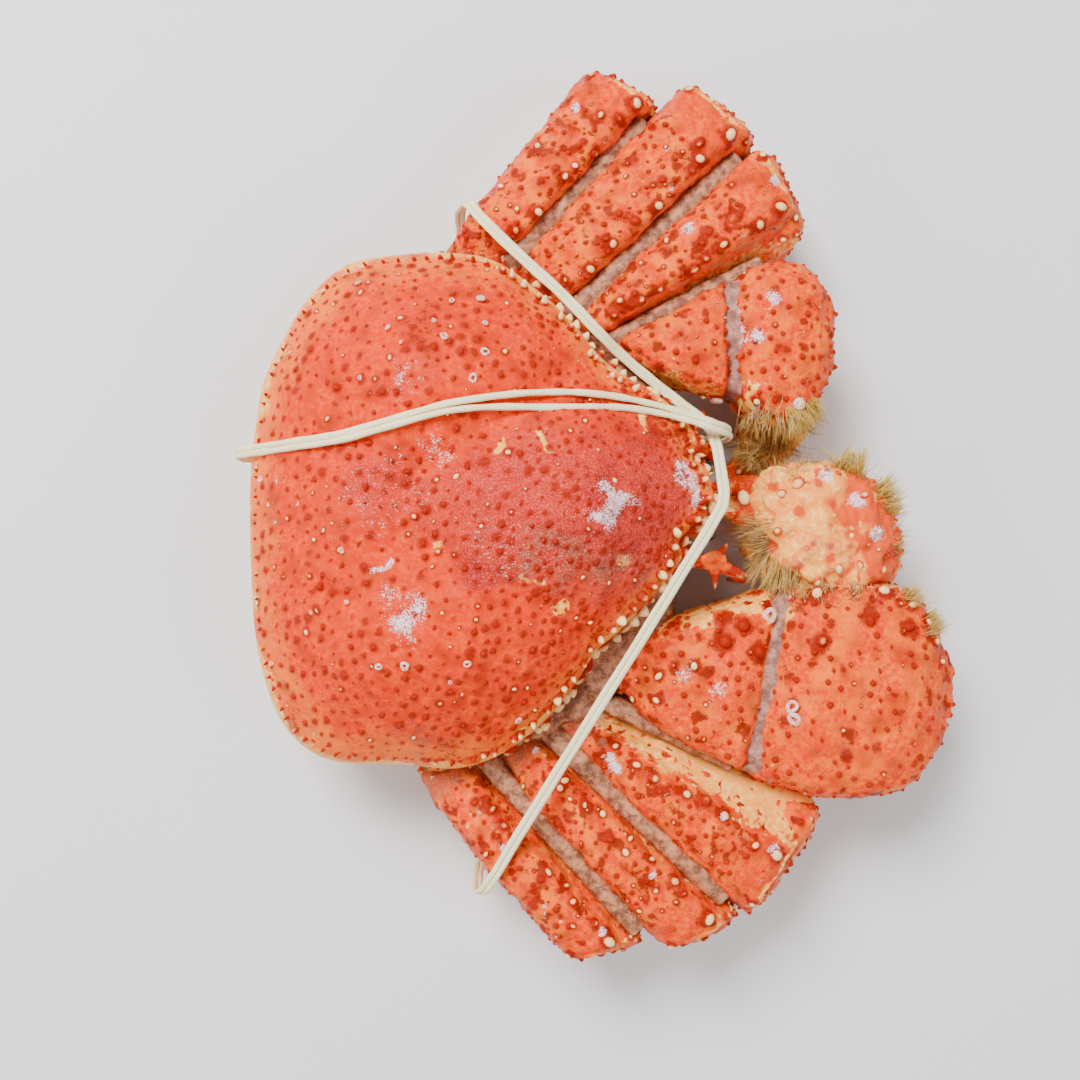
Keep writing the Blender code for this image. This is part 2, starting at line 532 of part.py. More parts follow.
def to_crab(point):
    return (point.x / MM + FOOTPRINT_CENTRE[0], point.y / MM + FOOTPRINT_CENTRE[1], point.z / MM)


def make_coxa(name, root, outer_ring, thorax_surface, finish):
    """The short hip piece, from the thorax's side to just short of the leg's first ring."""
    outer = np.array(outer_ring)
    centre = outer.mean(axis=0)
    start = np.array((root[0], root[1], COXA_MID_HEIGHT))
    along = centre - start
    along /= np.linalg.norm(along)
    hit, normal, _, _ = thorax_surface.ray_cast(world(centre), Vector(-along))
    touch = np.array(to_crab(hit)) + np.array(normal) * GAP
    normal = np.array(normal)
    rings = []
    shrink = 0.92
    near = (outer - centre) * shrink + centre
    beside = np.array((-along[1], along[0], 0.0)) / math.hypot(along[0], along[1])
    for share, widen in ((1.0, COXA_WIDEN), (0.55, 0.6 * COXA_WIDEN)):
        ring = []
        for p in near:
            from_axis = p - centre
            from_axis = from_axis + beside * np.dot(from_axis, beside) * widen
            base = touch + from_axis
            base = base - along * (np.dot(base - touch, normal) / np.dot(along, normal))
            goal = p - along * GAP / max(abs(along[0]), abs(along[1]))
            ring.append(tuple(goal + (base - goal) * share))
        rings.append(ring)
    rings.append([tuple(p - along * GAP * 1.3) for p in near])
    return loft(name, rings, finish)


def spike(base, direction, length, radius, sides=5, sink=1.2, blunt=0.0):
    """A cone or, with blunt above zero, a domed knob: its points and faces."""
    direction = np.array(direction, dtype=float)
    direction /= np.linalg.norm(direction)
    helper = np.array((0.0, 0.0, 1.0)) if abs(direction[2]) < 0.8 else np.array((1.0, 0.0, 0.0))
    side = np.cross(direction, helper)
    side /= np.linalg.norm(side)
    other = np.cross(direction, side)
    levels = [(-sink, radius)]
    if blunt > 0:
        levels.append((length * 0.6, radius * blunt))
    points, faces = [], []
    for height, wide in levels:
        for k in range(sides):
            angle = 2 * math.pi * k / sides
            points.append(np.array(base) + direction * height
                          + wide * (side * math.cos(angle) + other * math.sin(angle)))
    points.append(np.array(base) + direction * length)
    tip = len(points) - 1
    for level in range(len(levels) - 1):
        for k in range(sides):
            a, b = level * sides + k, level * sides + (k + 1) % sides
            faces.append((a, b, b + sides, a + sides))
    top = (len(levels) - 1) * sides
    for k in range(sides):
        faces.append((top + k, top + (k + 1) % sides, tip))
    faces.append(tuple(range(sides))[::-1])
    return points, faces


def lock(base, lean, length, width, droop, sink=1.6):
    """A flat bristle lock with a diamond section that tapers and bends down as it goes out."""
    lean = np.array(lean, dtype=float)
    lean /= np.linalg.norm(lean)
    flat = np.cross(lean, (0.0, 0.0, 1.0))
    flat /= max(np.linalg.norm(flat), 1e-6)
    deep = np.cross(flat, lean)
    fall = np.array((0.0, 0.0, -droop))
    points, faces = [], []
    for out, share in ((-sink, 0.9), (length * 0.4, 1.0), (length * 0.75, 0.62)):
        middle = np.array(base) + lean * out + fall * (max(out, 0.0) / length) ** 2
        half_flat, half_deep = flat * width * share / 2, deep * width * share * 0.2
        points += [middle + half_flat, middle + half_deep, middle - half_flat, middle - half_deep]
    points.append(np.array(base) + lean * length + fall)
    for k in range(4):
        a, b = k, (k + 1) % 4
        faces += [(a, b, b + 4, a + 4), (a + 4, b + 4, b + 8, a + 8), (a + 8, b + 8, 12)]
    faces.append((3, 2, 1, 0))
    return points, faces


def fuse(core, pieces):
    """Joins the pieces to the core in one union and keeps the largest closed surface."""
    if not pieces:
        return core
    group = bpy.data.collections.new(core.name + "_pieces")
    bpy.context.scene.collection.children.link(group)
    for k, (points, faces) in enumerate(pieces):
        piece = make_object(f"{core.name}_piece_{k}", points, faces, core.data.materials[0])
        bpy.context.scene.collection.objects.unlink(piece)
        group.objects.link(piece)
    union = core.modifiers.new("union", "BOOLEAN")
    union.operation = "UNION"
    union.operand_type = "COLLECTION"
    union.collection = group
    union.solver = "EXACT"
    bpy.context.view_layer.update()
    evaluated = core.evaluated_get(bpy.context.evaluated_depsgraph_get())
    joined = bpy.data.meshes.new_from_object(evaluated)
    core.modifiers.remove(union)
    old = core.data
    core.data = joined
    joined.name = core.name
    bpy.data.meshes.remove(old)
    for piece in list(group.objects):
        bpy.data.objects.remove(piece, do_unlink=True)
    bpy.data.collections.remove(group)
    keep_largest(core)
    return core


def keep_largest(thing):
    """Leaves only the largest closed surface of the mesh."""
    work = bmesh.new()
    work.from_mesh(thing.data)
    bmesh.ops.remove_doubles(work, verts=work.verts, dist=2e-6)
    bmesh.ops.triangulate(work, faces=work.faces)
    unseen = set(work.faces)
    shells = []
    while unseen:
        front = [unseen.pop()]
        shell = list(front)
        while front:
            face = front.pop()
            for edge in face.edges:
                for other in edge.link_faces:
                    if other in unseen:
                        unseen.remove(other)
                        front.append(other)
                        shell.append(other)
        shells.append(shell)
    shells.sort(key=lambda faces: sum(f.calc_area() for f in faces), reverse=True)
    for shell in shells[1:]:
        bmesh.ops.delete(work, geom=shell, context="FACES")
    work.to_mesh(thing.data)
    work.free()


def hit_on(surface, start, towards):
    """Where a line from one crab point towards another first meets the surface."""
    start, towards = np.array(start, float), np.array(towards, float)
    aim = towards - start
    hit, normal, _, _ = surface.ray_cast(world(start), Vector(aim / np.linalg.norm(aim)))
    if hit is None:
        return None, None
    return np.array(to_crab(hit)), np.array(normal)


def knobs_from_above(thing, spots):
    """Knobs standing on the top of a node: each spot is x, y, height, radius and bluntness."""
    surface = surface_of(thing)
    pieces = []
    for x, y, height, radius, blunt in spots:
        at, normal = hit_on(surface, (x, y, 90.0), (x, y, 0.0))
        if at is not None:
            pieces.append(spike(at, normal, height, radius, blunt=blunt))
    return pieces


def locks_on(thing, random_source):
    """The bristle locks of one node, two tiers deep, fanned out along the runs given for it."""
    surface = surface_of(thing)
    pieces = []
    for name, middle, line, count, tiers, rise, length, width in LOCK_RUNS:
        if name != thing.name:
            continue
        for k, (x, y) in enumerate(smooth_curve(line, count)):
            out = np.array((x - middle[0], y - middle[1]))
            out = out / np.linalg.norm(out)
            turn = random_source.uniform(-0.3, 0.3)
            lean = np.array((out[0] - turn * out[1], out[1] + turn * out[0], rise * (1 + 0.6 * (k % 2))))
            at, _ = hit_on(surface, np.array((x, y, tiers[k % 2])) + lean * 30.0, (x, y, tiers[k % 2]))
            if at is not None:
                size = random_source.uniform(0.85, 1.15)
                pieces.append(lock(at, lean, length * size, width * size, LOCK_DROOP * size))
    return pieces


def distance_to_route(x, y, route):
    steps = route[1:, :2] - route[:-1, :2]
    offsets = np.array((x, y)) - route[:-1, :2]
    lengths = np.maximum((steps ** 2).sum(axis=1), 1e-9)
    along = np.clip((steps * offsets).sum(axis=1) / lengths, 0.0, 1.0)
    return float(np.min(np.linalg.norm(offsets - steps * along[:, None], axis=1)))


def carapace_pieces(carapace, outline, routes, random_source):
    """Granules over the shell, cones along its margin and the spines of the rostrum."""
    surface = surface_of(carapace)
    centre = np.array(CARAPACE_CENTRE)
    pieces, placed = [], []
    for _ in range(GRANULE_TRIES):
        if len(placed) == GRANULE_COUNT:
            break
        x = random_source.uniform(outline[:, 0].min(), outline[:, 0].max())
        y = random_source.uniform(outline[:, 1].min(), outline[:, 1].max())
        if margin_share(x, y, outline) > GRANULE_EDGE:
            continue
        if any(distance_to_route(x, y, r) < ROUTE_CLEAR for r in routes):
            continue
        if any((x - px) ** 2 + (y - py) ** 2 < GRANULE_SPACING ** 2 for px, py in placed):
            continue
        placed.append((x, y))
        at, normal = hit_on(surface, (x, y, 90.0), (x, y, 0.0))
        size = random_source.uniform(0.85, 1.2)
        pieces.append(spike(at, normal, GRANULE_HEIGHT * size, GRANULE_RADIUS * size))
    for k in range(MARGIN_TEETH):
        place = len(outline) * (k + 0.5) / MARGIN_TEETH
        low = int(place)
        share = place - low
        spot = outline[low % len(outline)] * (1 - share) + outline[(low + 1) % len(outline)] * share
        if any(distance_to_route(*spot, r) < ROUTE_CLEAR + 0.6 for r in routes):
            continue
        forward = min(max((spot[0] - 30.0) / 50.0, 0.0), 1.0)
        length = 1.5 + 1.7 * forward + random_source.uniform(-0.2, 0.3)
        out = spot - centre
        out = out / np.linalg.norm(out)
        base = (*(spot - out * 1.2), float(np.interp(spot[0], *zip(*MARGIN_HEIGHT))) - 1.3)
        pieces.append(spike(base, (*out, 0.18), length + 1.2, 1.25 + 0.35 * forward, sink=1.0))
    for base, tip, radius in ROSTRUM_SPINES:
        aim = np.array(tip) - np.array(base)
        pieces.append(spike(base, aim, float(np.linalg.norm(aim)), radius, sides=6))
    return pieces


def merus_spots(leg, routes, random_source):
    """Rows of knobs along a merus: the crest near its front edge, its middle and its rear."""
    spots = []
    for across, count, height, radius, blunt in MERUS_ROWS:
        for k in range(count):
            along = 0.14 + (KNEE - 0.20) * (k + 0.5) / count + random_source.uniform(-0.015, 0.015)
            x, y = leg.point(along, across + random_source.uniform(-0.07, 0.07))
            if any(distance_to_route(x, y, r) < ROUTE_CLEAR for r in routes):
                continue
            size = random_source.uniform(0.85, 1.15)
            spots.append((x, y, height * size, radius * size, blunt))
    return spots


def carpus_pieces(leg, carpus, random_source):
    """Cones down the rounded outer face of the knee."""
    surface = surface_of(carpus)
    pieces = []
    middle = leg.point(KNEE, 0.0)
    out = leg.point(1.0, 0.0) - middle
    for across, height in CARPUS_KNOBS:
        aim = leg.point(0.9, across + random_source.uniform(-0.08, 0.08))
        at, normal = hit_on(surface, (*(aim + out * 4), height), (*aim, height))
        if at is not None:
            pieces.append(spike(at, normal, 1.7, 1.5))
    return pieces


def scattered_spots(rows, count, random_source, routes=()):
    """Knobs spread over the top of a claw piece given by its plan sections."""
    spots = []
    for k in range(count):
        place = (len(rows) - 1.6) * (k + 0.5) / count + 0.3
        low = min(int(place), len(rows) - 2)
        share = place - low
        across = 0.16 + 0.68 * ((k * 0.618) % 1.0)
        inner = np.array(rows[low][0]) * (1 - share) + np.array(rows[low + 1][0]) * share
        outer = np.array(rows[low][1]) * (1 - share) + np.array(rows[low + 1][1]) * share
        x, y = inner + (outer - inner) * across
        if any(distance_to_route(x, y, r) < ROUTE_CLEAR for r in routes):
            continue
        size = random_source.uniform(0.85, 1.2)
        spots.append((x, y, CLAW_KNOB[0] * size, CLAW_KNOB[1] * size, CLAW_KNOB[2]))
    return spots


def tapered(name, path, sizes, finish, sides=8, count=6, up=(0.0, 0.0, 1.0), tip=True):
    """A limb along a path whose half sizes run from the first to the last given pair."""
    curve = smooth_curve(path, count + (1 if tip else 0))
    body = curve[:count]
    halves = [(np.interp(k, np.linspace(0, count - 1, len(sizes)), [s[0] for s in sizes]),
               np.interp(k, np.linspace(0, count - 1, len(sizes)), [s[1] for s in sizes]))
              for k in range(count)]
    rings = tube_rings(body, halves, sides, up)
    return loft(name, rings, finish, end=tuple(curve[-1]) if tip else None)


def as_piece(thing):
    """Takes an object apart into points and faces for a union, and removes it."""
    points = [np.array(to_crab(v.co)) for v in thing.data.vertices]
    faces = [tuple(p.vertices) for p in thing.data.polygons]
    bpy.data.objects.remove(thing, do_unlink=True)
    return points, faces


def make_claw_hands(pale, random_source):
    """Both hands with their fixed fingers, bristle locks and separate movable fingers."""
    plans = (("right", PALM_RIGHT, THUMB_RIGHT_PATH, THUMB_RIGHT_SIZE,
              FINGER_RIGHT_PATH, FINGER_RIGHT_SIZE, 12),
             ("left", PALM_LEFT, THUMB_LEFT_PATH, THUMB_LEFT_SIZE,
              FINGER_LEFT_PATH, FINGER_LEFT_SIZE, 5))
    for side, rows, thumb_path, thumb, finger_path, finger, knobs in plans:
        palm = loft(f"claw_{side}_palm", [section(*row) for row in rows], pale)
        pieces = knobs_from_above(palm, scattered_spots(rows, knobs, random_source))
        pieces += locks_on(palm, random_source)
        halves = [(thumb[0] * share, thumb[1] * share) for share in FINGER_TAPER]
        pieces.append(as_piece(tapered("thumb", thumb_path, halves, pale)))
        fuse(palm, pieces)
        halves = [(finger[0] * share, finger[1] * share) for share in FINGER_TAPER]
        tapered(f"claw_{side}_finger", finger_path, halves, pale)


def make_head(thorax_surface, shell, pale, dark):
    for side_name, side in (("left", 1.0), ("right", -1.0)):
        def mirrored(path):
            return [(x, y * side, z) for x, y, z in path]
        tapered(f"eye_{side_name}", mirrored(EYE_PATH), EYE_SIZES, dark, count=5)
        tapered(f"antennule_{side_name}", mirrored(ANTENNULE_PATH), ANTENNULE_SIZES, shell, sides=5)
        tapered(f"antenna_{side_name}", mirrored(ANTENNA_PATHS[side_name]), ANTENNA_SIZES, shell,
                sides=6, count=10)
        centre, tips = ACICLES[side_name]
        ends = [(centre[0] + reach, centre[1], centre[2]) for reach in (-ACICLE_HALF, ACICLE_HALF)]
        plate = tapered(f"acicle_{side_name}", ends, ACICLE_SIZES, shell, sides=6, count=3)
        spines = []
        for tip in tips:
            aim = np.array(tip) - np.array(centre)
            spines.append(spike(centre, aim, float(np.linalg.norm(aim)), ACICLE_SPINE, sink=0.6))
        fuse(plate, spines)
        path = []
        for height, across in MAXILLIPED_PATH:
            at, _ = hit_on(thorax_surface, (130.0, across * side, height), (60.0, across * side, height))
            path.append((at[0] + MAXILLIPED_HALF[1] + GAP + 0.25, across * side, height))
        half = [MAXILLIPED_HALF, MAXILLIPED_HALF, (MAXILLIPED_HALF[0] * 0.7, MAXILLIPED_HALF[1] * 0.8)]
        tapered(f"maxilliped_{side_name}", path, half, pale, count=5, up=(1.0, 0.0, 0.0))


def main():
    clear_scene()
    random_source = random.Random(SEED)
    shell = material("shell", (0.72, 0.16, 0.05), 0.5)
    pale = material("pale_shell", (0.82, 0.56, 0.36), 0.55)
    white = material("band", (0.85, 0.82, 0.72), 0.7)
    dark = material("eye", (0.02, 0.015, 0.015), 0.2)

    outline = outline_points(CARAPACE_LEFT, CARAPACE_RIGHT, CARAPACE_SEGMENTS, FRONT_DETAIL)
    carapace = make_carapace(shell, outline)
    thorax = make_thorax(pale)
    make_pleon(pale)
    thorax_surface = surface_of(thorax)
    carapace_surface = surface_of(carapace)

    bands = []
    for name, route in BAND_ROUTES.items():
        path = []
        for x, y, z in route:
            if z is None:
                at, _ = hit_on(carapace_surface, (x, y, 90.0), (x, y, 0.0))
                z = at[2] + BAND_LIFT
            path.append((x, y, z))
        path = smooth_curve(path, BAND_POINTS[name], closed=True)
        path[:, 2] = np.maximum(path[:, 2], BAND_LOWEST)
        outward = (path - np.array(BODY_MIDDLE)) / np.array(BODY_REACH) ** 2
        closed_tube(name, path, BAND_WIDTHS[name] / 2, BAND_THICKNESS / 2, 6, outward, white)
        bands.append(path)
    upper = [np.array([p for p in np.vstack((path, path[:1])) if p[2] > BAND_UPPER]) for path in bands]

    fuse(carapace, carapace_pieces(carapace, outline, upper, random_source))

    for name in LEGS:
        leg = Leg(name)
        merus = make_merus(leg, shell)
        fuse(merus, knobs_from_above(merus, merus_spots(leg, upper, random_source)))
        carpus = make_carpus(leg, shell)
        fuse(carpus, carpus_pieces(leg, carpus, random_source))
        make_propodus(leg, pale)
        make_dactyl(leg, shell)
        first = section(*leg.edges(0.0, 0.80), 17.0, MERUS_BASE_HIGH, MERUS_SECTION)
        make_coxa(name + "_coxa", (COXA_ROOTS[leg.number][0], COXA_ROOTS[leg.number][1] * leg.side),
                  first, thorax_surface, pale)

    for side_name, side in (("left", 1.0), ("right", -1.0)):
        stem = "claw_" + side_name
        rings = [section(*row) for row in CLAW_MERUS[side_name]]
        merus = loft(stem + "_merus", rings, shell)
        spots = scattered_spots(CLAW_MERUS[side_name], 14, random_source, upper)
        fuse(merus, knobs_from_above(merus, spots) + locks_on(merus, random_source))
        carpus = loft(stem + "_carpus", [section(*row) for row in CLAW_CARPUS[side_name]], shell)
        spots = scattered_spots(CLAW_CARPUS[side_name], 16, random_source)
        fuse(carpus, knobs_from_above(carpus, spots))
        make_coxa(stem + "_coxa", (COXA_ROOTS["claw"][0], COXA_ROOTS["claw"][1] * side),
                  rings[0], thorax_surface, pale)
    make_claw_hands(pale, random_source)
    make_head(thorax_surface, shell, pale, dark)


main()
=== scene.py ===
"""The looks of the snow crab: its shell, joint skins, bristles, eyes and two bands.

Every shape is a surface on a grid of points worked out with numpy. The numbers are in
millimetres in the crab's own frame: x runs forward from the rear edge of the carapace, y to
the crab's left and z up from the floor. in_metres() turns such points into metres about the
middle of the footprint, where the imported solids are.
"""

import math

import bpy
import numpy as np
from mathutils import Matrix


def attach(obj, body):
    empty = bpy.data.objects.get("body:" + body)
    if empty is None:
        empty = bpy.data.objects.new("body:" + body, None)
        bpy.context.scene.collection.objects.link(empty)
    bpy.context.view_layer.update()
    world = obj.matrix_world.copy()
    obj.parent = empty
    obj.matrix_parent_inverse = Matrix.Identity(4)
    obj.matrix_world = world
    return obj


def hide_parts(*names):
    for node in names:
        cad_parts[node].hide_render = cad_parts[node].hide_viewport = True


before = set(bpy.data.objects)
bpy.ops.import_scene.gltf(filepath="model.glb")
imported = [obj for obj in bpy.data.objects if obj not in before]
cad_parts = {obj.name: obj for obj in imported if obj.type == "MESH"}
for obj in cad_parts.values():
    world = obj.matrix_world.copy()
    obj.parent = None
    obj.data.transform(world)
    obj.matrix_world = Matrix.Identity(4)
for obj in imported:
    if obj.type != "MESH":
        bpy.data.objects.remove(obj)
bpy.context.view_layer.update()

FOOTPRINT_CENTRE = (78.9, -3.05, 0.0)
SEED = 7
FLOOR_GAP = 0.02

# Carapace outline, left and right half, each from the rear edge to the tip of the rostrum.
CARAPACE_LEFT = (
    (0.0, 0.0), (0.6, 10.0), (2.0, 20.0), (4.6, 32.0), (10.4, 43.0), (16.6, 51.6), (26.0, 58.2),
    (38.0, 59.6), (50.0, 59.4), (60.0, 56.8), (70.6, 48.2), (77.2, 41.0), (82.6, 33.6), (88.8, 28.2),
    (94.6, 24.4), (100.2, 19.0), (103.2, 13.4), (102.2, 9.8), (105.0, 6.6), (106.2, 2.2))
CARAPACE_RIGHT = (
    (-0.2, -12.0), (0.0, -25.0), (1.8, -37.0), (5.8, -47.6), (12.4, -54.4), (21.0, -57.2), (33.0, -57.8),
    (44.0, -59.2), (51.0, -58.2), (58.0, -55.2), (66.0, -49.4), (73.4, -41.0), (78.8, -33.4),
    (84.0, -29.2), (89.4, -24.0), (95.0, -18.0), (98.8, -12.8), (98.6, -8.8), (103.2, -4.6),
    (106.0, -1.4))
CARAPACE_CENTRE = (60.0, 0.0)
MARGIN_HEIGHT = ((0.0, 33.0), (25.0, 34.6), (60.0, 36.0), (85.0, 39.5), (100.0, 43.0), (106.2, 44.6))
DOME_RISE = ((0.0, 22.0), (52.0, 22.0), (80.0, 19.0), (100.0, 11.0), (106.2, 7.0))
DOME_POWERS = (2.6, 0.72)
REGIONS = (
    (5.0, 76.0, 0.0, 18.0, 14.0), (2.6, 29.0, 0.0, 10.0, 9.0), (4.6, 37.0, 34.0, 20.0, 15.0),
    (1.6, 90.0, 0.0, 12.0, 7.0))
GROOVE_BASE, GROOVE_SLOPE, GROOVE_ROUND = 22.4, 1.82, 8.0
GROOVE_DEPTH, GROOVE_WIDTH = 2.2, 4.2
NOTCH_POWER, NOTCH_AVERAGE = 4, 22.0
UNDERSIDE = ((0.0, 29.5), (78.0, 33.0), (106.2, 41.5))
SHELL_SIDE = 297
RIM_STEPS = ((0.998, 0.30), (0.990, 0.62), (0.975, 0.88), (0.94, 1.0), (0.60, 1.0))
GRANULE_TRIES = 24000
ROSTRUM_SPINES = (
    ((102.0, -0.6, 41.0), (112.4, -0.8, 40.2), 1.7), ((100.4, 4.4, 42.6), (107.0, 5.2, 43.2), 1.3),
    ((99.0, 10.6, 42.4), (105.4, 10.6, 42.4), 1.3), ((95.0, -9.0, 41.8), (101.6, -9.8, 41.8), 1.3),
    ((99.6, -4.0, 42.4), (106.2, -5.4, 42.6), 1.3))

# Folded walking legs: rear edge and front edge of each, seen from above.
LEGS = {
    "leg_2_left": (((73.4, 42.6), (123.6, 83.6)), ((79.4, 35.4), (133.2, 61.6))),
    "leg_3_left": (((57.6, 52.8), (106.6, 98.6)), ((72.9, 42.2), (122.6, 84.4))),
    "leg_4_left": (((44.4, 59.4), (83.4, 102.4)), ((57.2, 52.4), (100.4, 93.2))),
    "leg_2_right": (((67.6, -52.4), (112.6, -98.2)), ((79.6, -47.6), (131.6, -73.4))),
    "leg_3_right": (((53.2, -59.4), (93.4, -105.2)), ((66.9, -52.8), (111.0, -97.6))),
    "leg_4_right": (((34.4, -62.8), (69.4, -105.6)), ((52.4, -59.6), (88.2, -103.0)))}
# Where across each leg its cream front face begins, how wide a gap each leg's edges keep, and
# how far along the knee begins.
CREAM_FROM = {
    "leg_2_left": 0.38,
    "leg_3_left": 0.62,
    "leg_4_left": 0.66,
    "leg_2_right": 0.12,
    "leg_3_right": 0.46,
    "leg_4_right": 0.42}
SEAM = 0.35
KNEE = 0.83
MERUS_STATIONS = (
    (0.0, 0.80, 17.0, 29.6), (0.10, 0.94, 15.2, 31.4), (0.30, 1.0, 14.6, 36.2), (0.60, 1.0, 14.6, 38.0),
    (0.80, 1.0, 15.5, 38.3), (0.91, 0.99, 19.0, 38.0), (0.955, 0.94, 23.0, 36.6))
MERUS_END = 0.955
KNEE_SECTION = ((-1.0, -0.9), (-1.02, 0.2), (-1.0, 0.72), (-0.72, 0.96), (-0.1, 1.0), (0.5, 0.98),
                (0.88, 0.84), (1.0, 0.40), (1.0, -0.9), (0.6, -1.0), (-0.6, -1.0))
KNEE_STATIONS = (
    (0.0, 0.95, 0.0, 31.0), (0.30, 1.0, 0.0, 33.0), (0.60, 1.0, 0.0, 34.2), (0.86, 0.97, 0.2, 33.2),
    (1.08, 0.80, 1.4, 28.4))
# The leg's front face beyond its crest: how cream it is, and how much grey painted shade lies on it.
FRONT_FACE = {
    "leg_2_left": (0.48, 0.80),
    "leg_3_left": (0.25, 0.85),
    "leg_4_left": (0.20, 0.80),
    "leg_2_right": (1.05, 0.0),
    "leg_3_right": (0.60, 0.45),
    "leg_4_right": (0.50, 0.50)}
PROPODUS_STATIONS = (
    (0.83, 0.72, 1.0, 14.0), (0.66, 0.80, 1.6, 14.0), (0.54, 0.78, 3.4, 14.0), (0.30, 0.72, 3.4, 13.2),
    (0.10, 0.62, 3.4, 12.2))
DACTYL_STATIONS = ((0.0, 3.0, 3.8, 11.2), (0.4, 2.5, 3.4, 9.8), (0.8, 1.4, 3.4, 7.2))
DACTYL_REACH = {"2": -0.22, "3": -0.22, "4": -0.34}

# Claw legs: inner and outer plan point of each section, with its lowest and highest z.
CLAW_MERUS = {
    "left": (
        ((93.0, 31.6), (85.6, 37.0), 17.0, 31.6), ((96.6, 29.8), (91.6, 40.2), 14.0, 37.0),
        ((104.0, 26.8), (103.0, 45.8), 13.0, 39.4), ((110.4, 24.6), (110.8, 49.8), 13.0, 39.4),
        ((112.9, 25.6), (112.9, 50.2), 15.0, 37.2)),
    "right": (
        ((89.0, -34.0), (84.6, -43.8), 17.0, 33.0), ((95.4, -28.6), (91.0, -50.8), 14.0, 37.4),
        ((105.4, -25.4), (99.6, -56.8), 13.0, 39.4), ((117.6, -22.2), (109.8, -61.6), 13.0, 39.6),
        ((121.8, -22.8), (112.6, -62.4), 15.0, 37.4))}
CLAW_CARPUS = {
    "left": (
        ((113.3, 25.6), (113.3, 50.2), 16.6, 34.6), ((116.8, 20.4), (116.6, 52.4), 16.0, 40.2),
        ((125.0, 17.8), (125.0, 54.0), 16.0, 41.0), ((132.4, 21.8), (132.0, 52.0), 16.6, 39.4),
        ((136.2, 29.0), (136.0, 46.6), 19.0, 35.6)),
    "right": (
        ((122.3, -23.0), (113.1, -62.6), 16.0, 34.4), ((126.6, -21.4), (118.2, -66.4), 11.0, 40.2),
        ((139.0, -20.8), (133.0, -69.8), 9.0, 41.6), ((151.0, -22.6), (148.4, -69.0), 9.4, 40.4),
        ((157.6, -30.0), (156.4, -61.4), 12.0, 37.0), ((161.0, -38.0), (160.4, -53.6), 18.0, 32.0))}
PALM = {
    "right": (
        ((151.0, -17.0), (150.4, -7.4), 19.0, 30.0), ((148.2, -19.8), (148.0, -0.8), 13.6, 35.0),
        ((140.6, -20.2), (141.4, 6.4), 11.0, 38.0), ((129.6, -20.2), (130.0, 7.6), 11.0, 38.0),
        ((121.8, -17.4), (122.2, 5.6), 12.0, 36.0), ((118.6, -14.0), (118.8, 2.4), 13.4, 31.4)),
    "left": (
        ((135.4, 30.4), (128.4, 35.6), 5.0, 14.6), ((135.6, 22.4), (123.4, 31.6), 2.4, 15.6),
        ((132.6, 13.4), (119.4, 22.6), 1.6, 15.6), ((128.6, 9.0), (118.4, 17.6), 2.0, 15.0),
        ((123.6, 6.2), (118.0, 12.4), 3.4, 13.6))}
FINGERS = {
    "finger_right": (
        ((121.0, -3.4, 27.0), (117.6, -3.0, 26.6), (113.4, -2.2, 26.8), (109.4, -0.6, 24.8)),
        ((4.2, 4.2), (3.9, 3.8), (3.2, 3.0), (1.5, 1.4))),
    "thumb_right": (
        ((124.0, 1.6, 18.6), (117.0, 2.4, 18.0), (112.8, 2.2, 18.2), (109.4, 1.0, 19.6)),
        ((4.2, 3.6), (3.8, 3.2), (2.8, 2.5), (1.3, 1.2))),
    "finger_left": (
        ((119.4, 9.6, 10.8), (117.2, 7.4, 10.8), (112.4, 2.2, 11.0), (108.8, -2.0, 8.6)),
        ((3.6, 2.6), (3.3, 2.4), (2.6, 2.0), (1.1, 1.0))),
    "thumb_left": (
        ((121.2, 9.4, 5.6), (114.6, 4.2, 4.6), (111.4, 0.8, 4.4), (109.2, -1.8, 5.2)),
        ((3.4, 2.3), (3.0, 2.1), (2.2, 1.7), (1.0, 0.9)))}
THORAX_OUTLINE = (
    (5.0, 0.0), (6.5, 14.0), (14.0, 29.0), (30.0, 36.5), (48.0, 37.0), (64.0, 32.0), (78.0, 24.0),
    (90.0, 15.0), (96.0, 8.0), (97.5, 0.0))
THORAX_CENTRE = (50.0, 0.0)
PLEON_STATIONS = (
    (10.8, 4.0, 4.4, 7.6), (12.0, 12.6, 1.6, 7.7), (18.0, 13.4, 0.0, 7.7), (28.0, 13.0, 0.0, 7.7),
    (36.0, 12.0, 2.2, 7.7), (46.0, 10.4, 4.9, 7.7), (62.0, 6.4, 5.0, 7.7), (67.6, 1.6, 6.4, 7.6))
PLEON_SECTION = (
    (-1.0, -0.3), (-0.92, 0.4), (-0.6, 0.9), (0.0, 1.0), (0.6, 0.9), (0.92, 0.4), (1.0, -0.3),
    (0.62, -1.0), (-0.62, -1.0))

